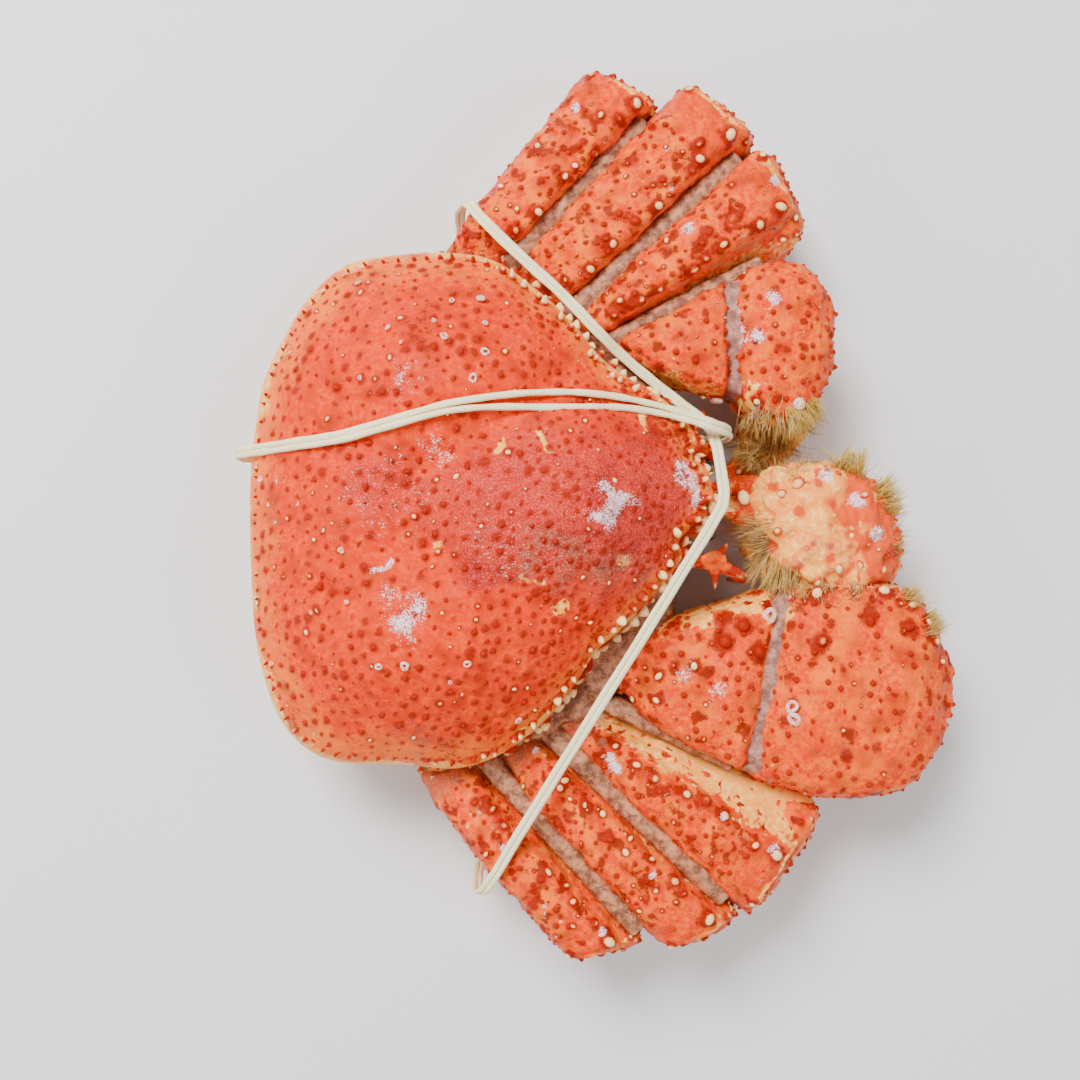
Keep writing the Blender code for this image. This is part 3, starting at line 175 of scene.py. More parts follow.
# Head parts, mirrored for the right side except where both sides are given.
EYE_PATH = ((93.4, 4.6, 35.5), (98.5, 5.4, 36.0), (102.4, 6.6, 37.0), (105.4, 7.4, 37.4))
EYE_SIZES = ((1.8, 1.5), (1.7, 1.6), (1.9, 1.8), (2.1, 2.0))
ANTENNULE_PATH = ((95.0, 1.3, 35.0), (102.0, 1.8, 34.8), (108.0, 2.6, 34.2), (112.4, 3.4, 33.2))
ANTENNULE_SIZES = ((0.9, 0.9), (0.75, 0.75), (0.6, 0.6), (0.45, 0.45))
ANTENNA_PATHS = {
    "left": (
        (98.6, 9.6, 30.2), (101.5, 13.6, 31.4), (104.4, 17.6, 31.2), (106.6, 20.4, 28.0),
        (107.6, 21.4, 22.0), (107.6, 21.4, 15.0), (105.6, 20.6, 9.0)),
    "right": (
        (98.6, -9.6, 30.2), (102.0, -12.8, 32.0), (107.5, -15.5, 33.0), (112.0, -17.4, 31.4),
        (115.0, -19.0, 26.0), (115.6, -19.6, 18.0), (113.4, -19.2, 11.0))}
ANTENNA_SIZES = ((1.9, 1.7), (1.7, 1.5), (0.9, 0.9), (0.6, 0.6), (0.45, 0.45), (0.35, 0.35))
ACICLES = {
    "left": (
        (104.6, 11.6, 36.4),
        ((109.0, 9.0, 36.8), (108.4, 13.2, 36.4), (104.4, 16.4, 36.4), (100.0, 11.0, 36.2))),
    "right": (
        (106.6, -14.0, 38.0),
        ((115.2, -16.2, 38.6), (112.6, -19.3, 38.2), (107.0, -20.6, 37.8), (109.4, -9.6, 38.6),
         (101.2, -16.4, 37.6)))}
MAXILLIPED_PATH = ((100.4, 4.2, 12.0), (99.8, 4.8, 18.0), (100.6, 4.8, 25.0), (101.6, 4.0, 31.0))
MAXILLIPED_SIZES = ((3.0, 1.6), (3.6, 2.0), (3.2, 1.9), (2.0, 1.4))

# Elastic bands: closed routes. A height of None lies on the shell.
BAND_LIFT = 1.3
BAND_ROUTES = {
    "lengthwise": (
        (-2.2, 15.4, 31.6), (-1.0, 15.6, 36.0), (4.6, 15.8, None), (14.0, 16.0, None), (25.0, 16.7, None),
        (38.0, 19.3, None), (49.2, 21.6, None), (61.0, 22.7, None), (72.6, 22.7, None),
        (79.0, 22.5, None), (86.0, 22.0, None), (93.6, 20.6, None), (101.0, 18.4, 46.8),
        (106.6, 16.4, 46.0), (110.4, 15.4, 41.8), (111.9, 15.2, 34.0), (112.0, 15.2, 24.0),
        (110.8, 15.2, 14.0), (105.6, 15.4, 6.8), (92.0, 15.6, 5.2), (70.0, 15.6, 4.4), (52.0, 15.6, 4.2),
        (34.0, 15.8, 4.4), (16.0, 15.8, 5.4), (3.6, 15.6, 13.0), (-1.8, 15.4, 23.0)),
    "crosswise": (
        (54.0, 70.2, 37.0), (57.6, 65.6, 38.6), (65.8, 57.0, 38.8), (74.2, 48.6, 39.0),
        (81.8, 40.0, 38.6), (87.6, 34.6, 34.6), (94.2, 28.8, 33.0), (100.8, 22.8, 34.2),
        (105.8, 17.6, 38.6), (107.4, 12.6, 43.4), (107.8, 6.6, 46.6), (108.0, 0.0, 47.8),
        (105.8, -4.6, 47.9), (97.4, -17.3, 46.6), (88.4, -30.9, 45.0), (74.3, -51.9, 42.6),
        (59.8, -73.6, 40.3), (52.6, -84.6, 38.9), (49.6, -88.2, 34.4), (48.6, -88.2, 20.0),
        (49.0, -87.0, 8.0), (50.6, -82.0, 1.8), (51.6, -60.0, 1.3), (52.4, -20.0, 1.3), (52.6, 20.0, 1.3),
        (51.6, 58.0, 1.3), (50.8, 68.6, 2.4), (50.6, 71.2, 9.0), (51.2, 71.8, 22.0), (52.6, 71.0, 31.0))}

# Creases between limbs: near end, far end, half width, height, and how far along they reach.
SEAMS = {
    "left": (
        ((57.4, 52.6), (100.4, 93.2), 2.6, 33.9, 0.88), ((73.2, 42.4), (122.8, 84.0), 3.0, 33.6, 0.88),
        ((80.6, 36.2), (128.0, 57.6), 2.4, 32.6, 0.86)),
    "right": (
        ((52.8, -59.4), (90.6, -104.0), 2.6, 33.9, 0.88),
        ((67.2, -52.6), (111.6, -97.8), 2.8, 33.6, 0.88),
        ((81.4, -46.6), (124.0, -68.8), 2.2, 32.0, 0.62))}
FLANKS = {
    "left": (
        ((34.0, 50.0), (38.0, 60.0), 28.0), ((46.0, 42.0), (51.0, 58.0), 31.0),
        ((60.0, 36.0), (67.0, 50.0), 32.0), ((72.0, 28.0), (79.5, 41.5), 32.5),
        ((82.0, 20.0), (89.0, 34.0), 32.5), ((90.0, 12.0), (97.0, 27.0), 32.0)),
    "right": (
        ((40.0, -44.0), (44.0, -54.0), 26.0), ((50.0, -42.0), (55.0, -57.0), 30.0),
        ((60.0, -38.0), (66.0, -54.0), 32.0), ((70.0, -32.0), (77.0, -48.0), 32.5),
        ((80.0, -22.0), (88.0, -39.0), 32.5), ((90.0, -12.0), (98.0, -27.0), 32.0))}
BAND_SPREAD = {"lengthwise": 1.0, "crosswise": 0.0}
HIP_ROOTS = {"2": (70.0, 25.0), "3": (56.0, 30.0), "4": (40.0, 32.0), "claw": (84.0, 14.0)}

# The photograph's camera: its place, its turn in degrees, and its lens and film in millimetres.
CAMERA_PLACE, CAMERA_TURN, CAMERA_LENS, CAMERA_FILM = (67.1, -7.45, 336.0), -2.43, 43.5, 36.0
# Lamps by place in metres, size and power, and the sky.
LAMPS = {"key": ((-0.25, 0.45, 0.75), 0.35, 16.0), "fill": ((0.55, -0.40, 0.60), 0.6, 4.5),
         "rear": ((-0.60, -0.20, 0.45), 0.4, 2.5)}
LAMP_TARGET = (0.0, 0.0, 0.03)
SKY, SKY_STRENGTH = (0.93, 0.95, 1.0), 0.50
# Knobs on the claws, as plan point, radius and tone.
CLAW_MARKS = {
    "left": {
        "upper": ((109.7, 22.5, 1.3, 0.9), (106.8, 24.7, 1.0, 1.0)),
        "wrist": ((127.3, 21.1, 1.3, 0.9), (117.9, 22.0, 1.1, 0.8))},
    "right": {
        "upper": (
            (93.0, -39.9, 1.2, 1.0), (100.8, -37.3, 1.2, 1.0), (92.3, -45.1, 1.1, 0.9),
            (87.3, -45.3, 1.0, 0.9), (108.5, -32.4, 2.0, -0.4), (112.5, -28.7, 1.9, -0.4),
            (115.7, -34.7, 1.8, -0.4)),
        "wrist": (
            (124.4, -23.6, 1.1, 0.5), (130.2, -22.6, 1.8, 0.8), (133.2, -21.6, 0.9, 0.3),
            (139.4, -22.0, 1.2, 0.5), (145.4, -22.8, 1.7, 0.9), (148.4, -25.6, 1.0, 0.4),
            (151.2, -26.0, 1.5, 0.7), (154.8, -30.2, 1.2, 0.8), (156.4, -34.6, 1.4, 0.5),
            (158.0, -39.5, 1.1, 0.7), (129.8, -33.3, 1.8, 0.3), (149.9, -30.9, 1.5, -0.3),
            (140.9, -29.0, 1.5, -0.3), (127.0, -24.4, 0.8, 0.2), (142.4, -24.4, 0.8, 0.1))}}
PALM_DOTS = (
    (129.4, -11.0, 0.9, 1.1), (133.2, -11.7, 1.1, 1.0), (138.0, -11.8, 1.0, 0.9), (133.5, -7.0, 0.8, 0.7),
    (126.6, -16.1, 1.1, 0.9), (125.0, -14.0, 1.2, 0.5), (133.3, -1.6, 2.2, 0.5), (131.6, 2.4, 1.2, 0.7),
    (123.0, -19.0, 3.0, 0.6))
PALM_RED = (
    (126.8, -3.5, 1.6, 0.7), (140.2, -1.6, 2.4, 0.9), (145.4, -4.9, 2.0, 0.9), (138.4, -9.6, 1.5, 0.7),
    (133.5, -14.5, 1.5, 0.7), (145.0, -17.5, 2.6, 0.9), (128.0, -12.0, 1.1, 0.6), (149.0, -8.4, 2.0, 0.8),
    (131.5, 3.0, 1.3, 0.6), (120.3, -11.1, 1.4, 1.3), (137.8, -4.7, 2.4, 1.1), (143.6, -12.7, 2.3, 1.2),
    (134.0, -2.0, 1.3, 0.6), (123.0, -1.5, 1.2, 0.5), (146.0, -7.0, 4.0, 0.5), (141.0, 3.0, 3.5, 0.6),
    (131.5, 5.5, 1.2, 0.7), (121.5, 2.5, 1.5, 0.7), (148.0, -15.0, 3.0, 0.6))
PALM_MARKS = {
    "right": (
        (127.2, 3.2, 2.2, 0.6), (130.2, -19.4, 1.5, 0.8), (123.4, 1.2, 1.5, 0.7),
        (125.4, -19.6, 1.2, 0.7), (135.5, -16.7, 1.6, 0.9), (121.6, -7.4, 1.4, 0.5),
        (136.0, 4.6, 1.0, 0.2), (141.6, -0.6, 1.3, 0.5), (144.6, -9.0, 1.1, 0.6),
        (140.6, -16.0, 1.2, 0.6), (145.2, -17.4, 1.3, 0.8), (133.4, 6.0, 1.0, 0.3)),
    "left": ((124.0, 17.0, 1.0, 0.8),)}
FINGER_KNOBS = {
    "right": ((115.2, 0.2, 2.3, 1.0), (119.4, 0.4, 1.3, 0.4), (118.4, -5.0, 1.1, 0.3)),
    "left": ((117.0, 7.2, 1.0, 0.6), (113.0, 3.4, 0.8, 0.5))}
CLAW_CREAM = (
    (121.6, -26.5, 3.4, 1.1), (118.0, -24.0, 3.0, 0.8), (104.0, -28.0, 4.5, 0.5),
    (113.6, -26.0, 4.0, 0.6), (116.0, 24.0, 3.4, 0.8), (127.0, 19.5, 3.0, 0.6))
CLAW_FROST = (
    (114.6, 36.0, 1.6, 0.8), (114.4, 39.5, 1.6, 0.8), (114.2, 43.0, 1.4, 0.7), (122.4, 45.0, 1.6, 1.2),
    (118.3, 36.6, 1.6, 1.1), (98.7, -39.7, 2.2, 0.62), (106.2, -43.2, 3.0, 0.52), (117.9, 19.0, 2.0, 1.0),
    (140.2, -1.4, 1.8, 1.2), (133.2, 4.6, 1.7, 1.1), (144.2, -9.3, 1.8, 1.1), (131.0, -11.0, 6.0, 0.30))

# Pale and dark marks on the legs as plan point, radius and strength.
LEG_FROST = (
    (79.2, -50.5, 1.7, 1.4), (82.4, -60.9, 1.4, 1.1), (81.2, -58.6, 1.1, 1.0), (124.6, 72.6, 1.5, 1.1),
    (117.5, -80.4, 1.6, 0.9), (104.0, 62.6, 1.6, 0.9))
LEG_DARK = ((79.7, -55.1, 1.0, 1.6), (123.0, 68.0, 2.4, 0.5))

# Chalky rings on the claws: plan point, 0 for the upper piece or 1 for the wrist, and radius.
CLAW_RINGS = {
    "left": ((109.7, 22.5, 0, 1.1), (127.3, 21.1, 1, 1.0)),
    "right": ((118.7, -27.1, 0, 1.2), (122.8, -48.0, 1, 1.1), (122.9, -50.7, 1, 1.1))}
# Tufts of bristles: name, piece, side, places, lowest height, lean, length, count and how olive.
TUFTS = (
    ("hand_right_crown", "hand", "right", ((138.6, 7.2, 1.7, 1.0), (141.0, 5.4, 1.4, 0.7)),
     30.0, (-0.1, 0.75, 0.75), 5.6, 420, 0.8),
    ("hand_right_edge", "hand", "right", ((146.4, 0.4, 1.8, 1.0), (148.6, -3.6, 1.8, 0.8)),
     26.0, (0.75, 0.45, 0.55), 4.6, 380, 0.8),
    ("hand_right_low", "hand", "right", ((128.0, 6.4, 4.0, 0.6), (150.5, -12.0, 3.0, 0.5)),
     18.0, (0.3, 0.5, 0.3), 2.6, 300, 0.3),
    ("mouth_right", "hand", "right", ((119.0, -6.4, 2.0, 1.0), (119.6, -10.4, 1.6, 0.7)),
     15.0, (-1.3, -0.1, 0.12), 6.4, 260, 0.10),
    ("comb_right", "hand", "right",
     ((119.6, -13.6, 1.6, 0.9), (122.6, -16.8, 1.8, 1.0), (126.0, -19.0, 1.6, 0.8)),
     24.0, (-0.30, -1.2, 0.10), 7.4, 330, 0.30),
    ("wrist_right_top", "wrist", "right",
     ((125.0, -21.8, 2.4, 1.0), (131.0, -21.6, 2.6, 0.8), (139.0, -21.4, 2.8, 0.7)),
     34.0, (0.0, 0.75, 0.35), 2.3, 240, 0.25),
    ("wrist_right_edge", "wrist", "right", ((152.0, -24.6, 2.0, 0.9), (156.0, -31.0, 2.0, 0.7)),
     30.0, (0.75, 0.45, 0.45), 3.6, 360, 0.8),
    ("hand_left", "hand", "left",
     ((126.0, 16.0, 3.4, 1.0), (120.5, 11.0, 3.0, 0.8), (132.0, 21.0, 3.0, 0.6)),
     9.0, (-0.15, -0.45, 1.2), 9.0, 900, 0.1),
    ("wrist_left", "wrist", "left", ((126.8, 18.6, 2.0, 1.0), (131.4, 20.4, 1.8, 0.8)),
     27.0, (0.45, -1.0, 0.25), 4.4, 460, 0.75),
    ("wrist_left_low", "wrist", "left", ((120.0, 19.6, 3.0, 0.8), (127.0, 18.4, 4.0, 0.8)),
     16.0, (-0.1, -1.0, -0.1), 4.6, 460, 0.1))
# Marks on the shell: rings by plan point, patches by plan point, radius and strength.
WORM_RINGS = (
    (46.4, -37.1), (50.4, -33.2), (37.1, -33.1), (31.4, -33.0), (60.5, -47.3), (77.6, -25.1),
    (24.1, -7.8), (24.7, -19.2), (16.3, -21.2), (8.2, -1.1), (14.0, 2.8), (5.0, -32.9), (28.9, 51.7),
    (36.3, 39.7), (46.1, 40.9), (39.3, 36.1), (48.3, 37.0), (57.1, 40.0), (56.9, 33.5), (54.2, 27.8),
    (30.0, 29.1), (50.1, 45.7), (56.3, 46.0), (8.9, 8.1), (4.4, 9.0), (6.5, 3.1))
FROST_PATCHES = (
    (37.6, -22.0, 4.6, 0.85), (40.6, 28.8, 3.6, 0.50), (82.6, 4.4, 2.2, 0.66), (84.4, 0.2, 2.6, 0.78),
    (80.4, -1.6, 2.4, 0.70), (100.4, 5.4, 3.0, 0.85), (101.8, -0.2, 2.6, 0.8), (45.9, 13.2, 3.4, 0.35),
    (31.5, -11.3, 1.5, 1.2), (60.0, -13.0, 6.0, 0.22), (52.0, -6.0, 7.0, 0.18), (34.0, 4.0, 12.0, 0.26),
    (72.0, -9.0, 9.0, 0.16))
CREAM_PATCHES = (
    (45.5, -7.5, 2.6, 0.9), (64.5, -15.6, 2.2, 0.6), (70.5, -21.3, 1.9, 1.1), (66.4, -18.5, 2.4, 0.5),
    (84.6, -12.3, 2.6, 0.55), (88.0, -12.6, 2.2, 0.5), (92.0, 17.6, 2.0, 1.0), (60.0, 13.0, 1.6, 0.8),
    (68.0, 12.4, 1.8, 0.9), (47.6, 13.0, 2.2, 0.6))
RED_PATCHES = (
    (53.3, -15.4, 4.6, 0.6), (88.0, 10.6, 6.0, 0.35), (82.0, 5.5, 4.0, 0.8), (40.0, -40.0, 9.0, 0.12),
    (95.0, 16.0, 5.0, 0.35), (46.0, 42.0, 9.0, 0.12))
ROSE_PATCHES = (
    (86.0, -2.0, 15.0, 0.95), (62.0, 0.0, 16.0, 0.75), (30.0, 6.0, 13.0, 0.75), (40.0, 29.0, 7.0, 0.6),
    (37.4, -23.1, 6.0, 0.5), (53.3, -15.4, 5.0, 0.7))
# Grey patches: the four on the right of the stomach region, from x 57 to 90, are painted shade of the
# groove that bounds it; the other two are grey marks.
GREY_AND_GROOVE_SHADE_PATCHES = (
    (80.0, -13.0, 9.0, 0.62), (68.0, -11.0, 8.0, 0.62), (57.0, -8.0, 7.0, 0.50), (38.5, -51.0, 5.0, 0.8),
    (30.0, 2.0, 12.0, 0.40), (90.0, -14.0, 6.0, 0.5))

# Colours of the shell, the skins, the bristles and the bands.
ORANGE, DEEP_RED, LIGHT_ORANGE = (0.66, 0.022, 0.0008), (0.17, 0.003, 0.001), (0.88, 0.066, 0.0015)
PEACH, CREAM, IVORY = (0.96, 0.16, 0.008), (0.97, 0.38, 0.05), (0.97, 0.74, 0.30)
ROSE, PALE_ROSE = (0.40, 0.012, 0.012), (0.76, 0.11, 0.08)
GREY_BROWN, LIGHT_GREY_BROWN = (0.19, 0.054, 0.032), (0.46, 0.16, 0.095)
FROST_WHITE, LILAC = (0.92, 0.80, 0.84), (0.66, 0.26, 0.30)
GRANULE_RED, TIP_ORANGE, TIP_IVORY = (0.44, 0.016, 0.002), (0.95, 0.28, 0.06), (0.97, 0.70, 0.30)
LIMB_ORANGE, LIGHT_LIMB, LIMB_RED = (0.70, 0.030, 0.001), (0.96, 0.13, 0.006), (0.19, 0.003, 0.001)
PALE_ORANGE, LIGHT_PALE, PALE_RED = (0.95, 0.25, 0.035), (0.97, 0.42, 0.09), (0.70, 0.05, 0.006)
# The dark brown of the flank and crease skin is partly the skin's own colour and partly painted shade of
# those deep pockets.
SKIN_AND_SHADE_BROWN, LIGHT_SKIN, SKIN_SPECKS = (0.17, 0.055, 0.026), (0.52, 0.22, 0.105), (0.80, 0.56, 0.40)
ELBOW_BROWN, LIGHT_ELBOW, ELBOW_SPECKS = (0.20, 0.075, 0.050), (0.46, 0.20, 0.14), (0.80, 0.54, 0.45)
BAND_SHADE, BAND_IVORY, BAND_GROOVE = (0.90, 0.78, 0.42), (0.97, 0.92, 0.62), (0.42, 0.31, 0.14)
BRISTLE_BROWN, BRISTLE_TAN = (0.26, 0.13, 0.045), (0.62, 0.38, 0.15)
STRAW, OLIVE = (0.90, 0.58, 0.17), (0.66, 0.44, 0.045)
EYE_BLACK, EYE_BROWN = (0.006, 0.004, 0.004), (0.05, 0.025, 0.02)
FLOOR_GREY, FLOOR_PALE = (0.70, 0.70, 0.69), (0.76, 0.76, 0.75)

chance = np.random.default_rng(SEED)


def in_metres(points):
    return (np.asarray(points, float) - np.array(FOOTPRINT_CENTRE)) * 0.001


def smooth_step(values, low, high):
    """0 below low, 1 above high and an S-shaped rise between."""
    share = np.clip((np.asarray(values, float) - low) / (high - low), 0.0, 1.0)
    return share * share * (3 - 2 * share)


def along_table(values, table):
    """Reads a table of (place, value) pairs at the given places, straight between them."""
    return np.interp(values, *zip(*table))


def curve_through(points, count, closed=False):
    """Catmull-Rom curve: each span is a cubic whose slope at a point is half the step between
    that point's neighbours. Works on points, and on whole rings of points, along the first axis."""
    points = np.asarray(points, float)
    number = len(points)
    spans = number if closed else number - 1
    place = np.linspace(0.0, spans, count, endpoint=not closed)
    span = np.minimum(place.astype(int), spans - 1)
    t = (place - span).reshape((-1,) + (1,) * (points.ndim - 1))
    index = span[:, None] + np.arange(-1, 3)
    index = index % number if closed else np.clip(index, 0, number - 1)
    p0, p1, p2, p3 = (points[index[:, k]] for k in range(4))
    return 0.5 * (2 * p1 + (p2 - p0) * t + (2 * p0 - 5 * p1 + 4 * p2 - p3) * t ** 2
                  + (3 * p1 - p0 - 3 * p2 + p3) * t ** 3)


def unit(vectors):
    return vectors / np.maximum(np.linalg.norm(vectors, axis=-1, keepdims=True), 1e-9)


def ripple(points, size, seed, waves=14):
    """Smooth unevenness between about -1 and 1: a sum of plane waves with seeded directions,
    lengths near the given size and seeded phases, divided by the square root of their number."""
    source = np.random.default_rng(seed)
    directions = unit(source.normal(size=(waves, 3)))
    pace = 2 * np.pi / (size * source.uniform(0.7, 1.6, waves))
    phases = source.uniform(0, 2 * np.pi, waves)
    total = np.zeros(points.shape[:-1])
    for k in range(waves):
        total += np.sin((points @ directions[k]) * pace[k] + phases[k])
    return total / math.sqrt(waves)


def blob_field(points, patches):
    """The sum of soft round patches, each (x, y, radius, strength): strength times
    exp(-(distance / radius)^2), seen from above."""
    total = np.zeros(points.shape[:-1])
    for x, y, radius, strength in patches:
        away = (points[..., 0] - x) ** 2 + (points[..., 1] - y) ** 2
        total += strength * np.exp(-away / radius ** 2)
    return total


def spot_field(points, centres, radii):
    """How near each point is to its nearest spot: 2 at a spot's centre, 1 at its edge and 0 at
    twice its radius and beyond, found in slices to keep the arrays small."""
    flat = points.reshape(-1, 3).astype(np.float32)
    centres, radii = np.asarray(centres, np.float32), np.asarray(radii, np.float32)
    best = np.zeros(len(flat), np.float32)
    for start in range(0, len(flat), 4000):
        part = flat[start:start + 4000]
        away = np.linalg.norm(part[:, None, :] - centres[None], axis=2) / radii
        best[start:start + 4000] = np.clip(2.0 - away.min(axis=1), 0.0, 2.0)
    return best.reshape(points.shape[:-1])


def grid_quads(rows, columns, closed=False):
    """Quads from each row of a grid to the next, and round its columns; on a closed grid the last
    row goes on to the first."""
    row = np.arange(rows if closed else rows - 1)[:, None]
    column = np.arange(columns)
    after, beside = (row + 1) % rows * columns, (column + 1) % columns
    row = row * columns
    return np.stack([row + column, row + beside, after + beside, after + column],
                    axis=-1).reshape(-1, 4)


def volume_in(points, quads):
    """Six times the volume that quads enclose: the triple products of their halves' corners."""
    a, b, c, d = (points[quads[:, k]] for k in range(4))
    return np.einsum("ij,ij->", a, np.cross(b, c)) + np.einsum("ij,ij->", a, np.cross(c, d))


def facing_out(points, quads, fans=np.empty((0, 3), int)):
    """The faces, turned round if the volume that they enclose comes out negative."""
    a, b, c = (points[fans[:, k]] for k in range(3))
    if volume_in(points, quads) + np.einsum("ij,ij->", a, np.cross(b, c)) < 0:
        quads, fans = quads[:, ::-1], fans[:, ::-1]
    return quads.tolist() + fans.tolist()


def closed_loop(grid, **fields):
    """A tube that closes on itself: rings of points in a loop, and named values laid over it."""
    points = grid.reshape(-1, 3)
    faces = facing_out(points, grid_quads(*grid.shape[:2], closed=True))
    return points, faces, {label: np.broadcast_to(values, grid.shape[:2]).ravel()
                           for label, values in fields.items()}


class Surface:
    """A closed surface: rows of points along it and columns round it, with a pole at each end,
    and named values at its points that its material reads."""

    def __init__(self, grid, start=None, end=None):
        self.grid = np.asarray(grid, float)
        self.start = self.grid[0].mean(axis=0) if start is None else np.asarray(start, float)
        self.end = self.grid[-1].mean(axis=0) if end is None else np.asarray(end, float)
        self.fields = {}
        if self.volume() < 0:
            self.grid = self.grid[:, ::-1]

    def volume(self):
        """Six times the volume inside, the fans at both poles included."""
        sides = volume_in(self.grid.reshape(-1, 3), grid_quads(*self.grid.shape[:2]))
        first, last = self.grid[0], self.grid[-1]
        sides += np.sum(np.cross(np.roll(first, -1, axis=0), first) @ self.start)
        return sides + np.sum(np.cross(last, np.roll(last, -1, axis=0)) @ self.end)

    def ripple(self, size, seed):
        return ripple(self.grid, size, seed)

    def shares(self):
        """Each row's share of the way along, as a column."""
        return np.linspace(0, 1, len(self.grid))[:, None]

    def paint(self, **fields):
        """Sets named values, each one number or an array that spreads over the points."""
        self.fields.update(fields)

    def normals(self):
        across = np.roll(self.grid, -1, axis=1) - np.roll(self.grid, 1, axis=1)
        return unit(np.cross(across, np.gradient(self.grid, axis=0)))

    def lift(self, amount):
        """Moves each point along its normal by the given amount in millimetres."""
        self.grid = self.grid + self.normals() * np.asarray(amount)[..., None]
        return self

    def top_at(self, x, y):
        """Row and column of the upper point nearest to plan point (x, y)."""
        away = np.hypot(self.grid[..., 0] - x, self.grid[..., 1] - y)
        away = away + np.where(self.normals()[..., 2] > 0.0, 0.0, 50.0)
        return np.unravel_index(np.argmin(away), away.shape)

    def geometry(self):
        rows, columns = self.grid.shape[:2]
        column = np.arange(columns)
        beside = (column + 1) % columns
        last = (rows - 1) * columns
        head, tail = rows * columns, rows * columns + 1
        fans = np.concatenate([np.stack([beside, column, np.full(columns, head)], axis=1),
                               np.stack([last + column, last + beside, np.full(columns, tail)], axis=1)])
        points = np.concatenate([self.grid.reshape(-1, 3), [self.start, self.end]])
        fields = {}
        for label, values in self.fields.items():
            values = np.broadcast_to(values, (rows, columns))
            fields[label] = np.concatenate([values.ravel(), [values[0].mean(), values[-1].mean()]])
        return points, grid_quads(rows, columns).tolist() + fans.tolist(), fields


def joined(parts):
    """Several (points, faces, fields) as one, with fields that a part lacks set to 0."""
    labels = sorted({label for _, _, fields in parts for label in fields})
    points, faces, offset = [], [], 0
    values = {label: [] for label in labels}
    for part_points, part_faces, fields in parts:
        points.append(part_points)
        faces += [[index + offset for index in face] for face in part_faces]
        offset += len(part_points)
        for label in labels:
            values[label].append(fields.get(label, np.zeros(len(part_points))))
    return np.concatenate(points), faces, {label: np.concatenate(values[label]) for label in labels}


def make_piece(name, geometry, material, slot, *nodes):
    """Makes an object of (points, faces, fields) that rides with the crab's one body, and
    stands in for the named nodes of the solids."""
    points, faces, fields = geometry
    points[:, 2] = np.maximum(points[:, 2], FLOOR_GAP)
    mesh = bpy.data.meshes.new(name)
    mesh.from_pydata(in_metres(points).tolist(), [], faces)
    for label, values in fields.items():
        layer = mesh.attributes.new(label, "FLOAT", "POINT")
        layer.data.foreach_set("value", np.asarray(values, np.float32))
    mesh.shade_smooth()
    mesh.materials.append(material)
    piece = bpy.data.objects.new(name, mesh)
    bpy.context.scene.collection.objects.link(piece)
    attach(piece, "root")
    if nodes:
        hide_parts(*nodes)
    return piece


def rounded_box(power=0.75):
    """A section of ten points round a superellipse: the sine and cosine of each angle, raised
    to a power that squares the corners."""
    angles = 2 * np.pi * (np.arange(10) + 0.5) / 10
    wide, tall = np.cos(angles), np.sin(angles)
    wide = np.sign(wide) * (abs(wide) / abs(wide).max()) ** power
    tall = np.sign(tall) * (abs(tall) / abs(tall).max()) ** power
    return np.stack([wide, tall], axis=1)


def lofted(stations, profile, rows, columns, ends=(1.0, 1.0)):
    """A surface through upright sections: a curve through the stations carries the section,
    smoothed round, and each end is domed by the given depth. A station is two plan points with
    a lowest and a highest z; the section's shares are laid between them."""
    profile = np.asarray(profile, float)
    rings = []
    for inner, outer, low, high in stations:
        inner, outer = np.array(inner), np.array(outer)
        plan = inner + (outer - inner) * (0.5 + 0.5 * profile[:, :1])
        rings.append(np.column_stack([plan, low + (high - low) * (0.5 + 0.5 * profile[:, 1])]))
    round_first = curve_through(np.swapaxes(np.array(rings), 0, 1), columns, closed=True)
    grid = curve_through(np.swapaxes(round_first, 0, 1), rows)
    return domed(grid, ends)


def domed(grid, ends):
    """Closes both ends of a grid with a dome: rings that shrink with the cosine of an angle
    while they move out with its sine."""
    angles = np.radians(np.linspace(0, 84, 8)[1:])
    caps, poles = [], []
    for ring, before, depth in ((grid[0], grid[2], ends[0]), (grid[-1], grid[-3], ends[1])):
        middle = ring.mean(axis=0)
        out = unit(middle - before.mean(axis=0)) * depth
        caps.append(np.array([middle + (ring - middle) * math.cos(a) + out * math.sin(a)
                              for a in angles]))
        poles.append(middle + out)
    return Surface(np.concatenate([caps[0][::-1], grid, caps[1]]), *poles)


def tube(path, sizes, rows, columns, up=(0.0, 0.0, 1.0), ends=(1.0, 1.0)):
    """A round limb: an ellipse square to a smooth path, its half width and half height read
    from a smooth curve through the given sizes."""
    centres = curve_through(path, rows)
    sizes = curve_through(sizes, rows)
    forward = unit(np.gradient(centres, axis=0))
    side = unit(np.cross(forward, np.array(up)))
    rise = np.cross(side, forward)
    angles = np.linspace(0, 2 * np.pi, columns, endpoint=False)
    grid = (centres[:, None] + side[:, None] * (np.cos(angles)[:, None] * sizes[:, None, :1])
            + rise[:, None] * (np.sin(angles)[:, None] * sizes[:, None, 1:]))
    return domed(grid, ends)


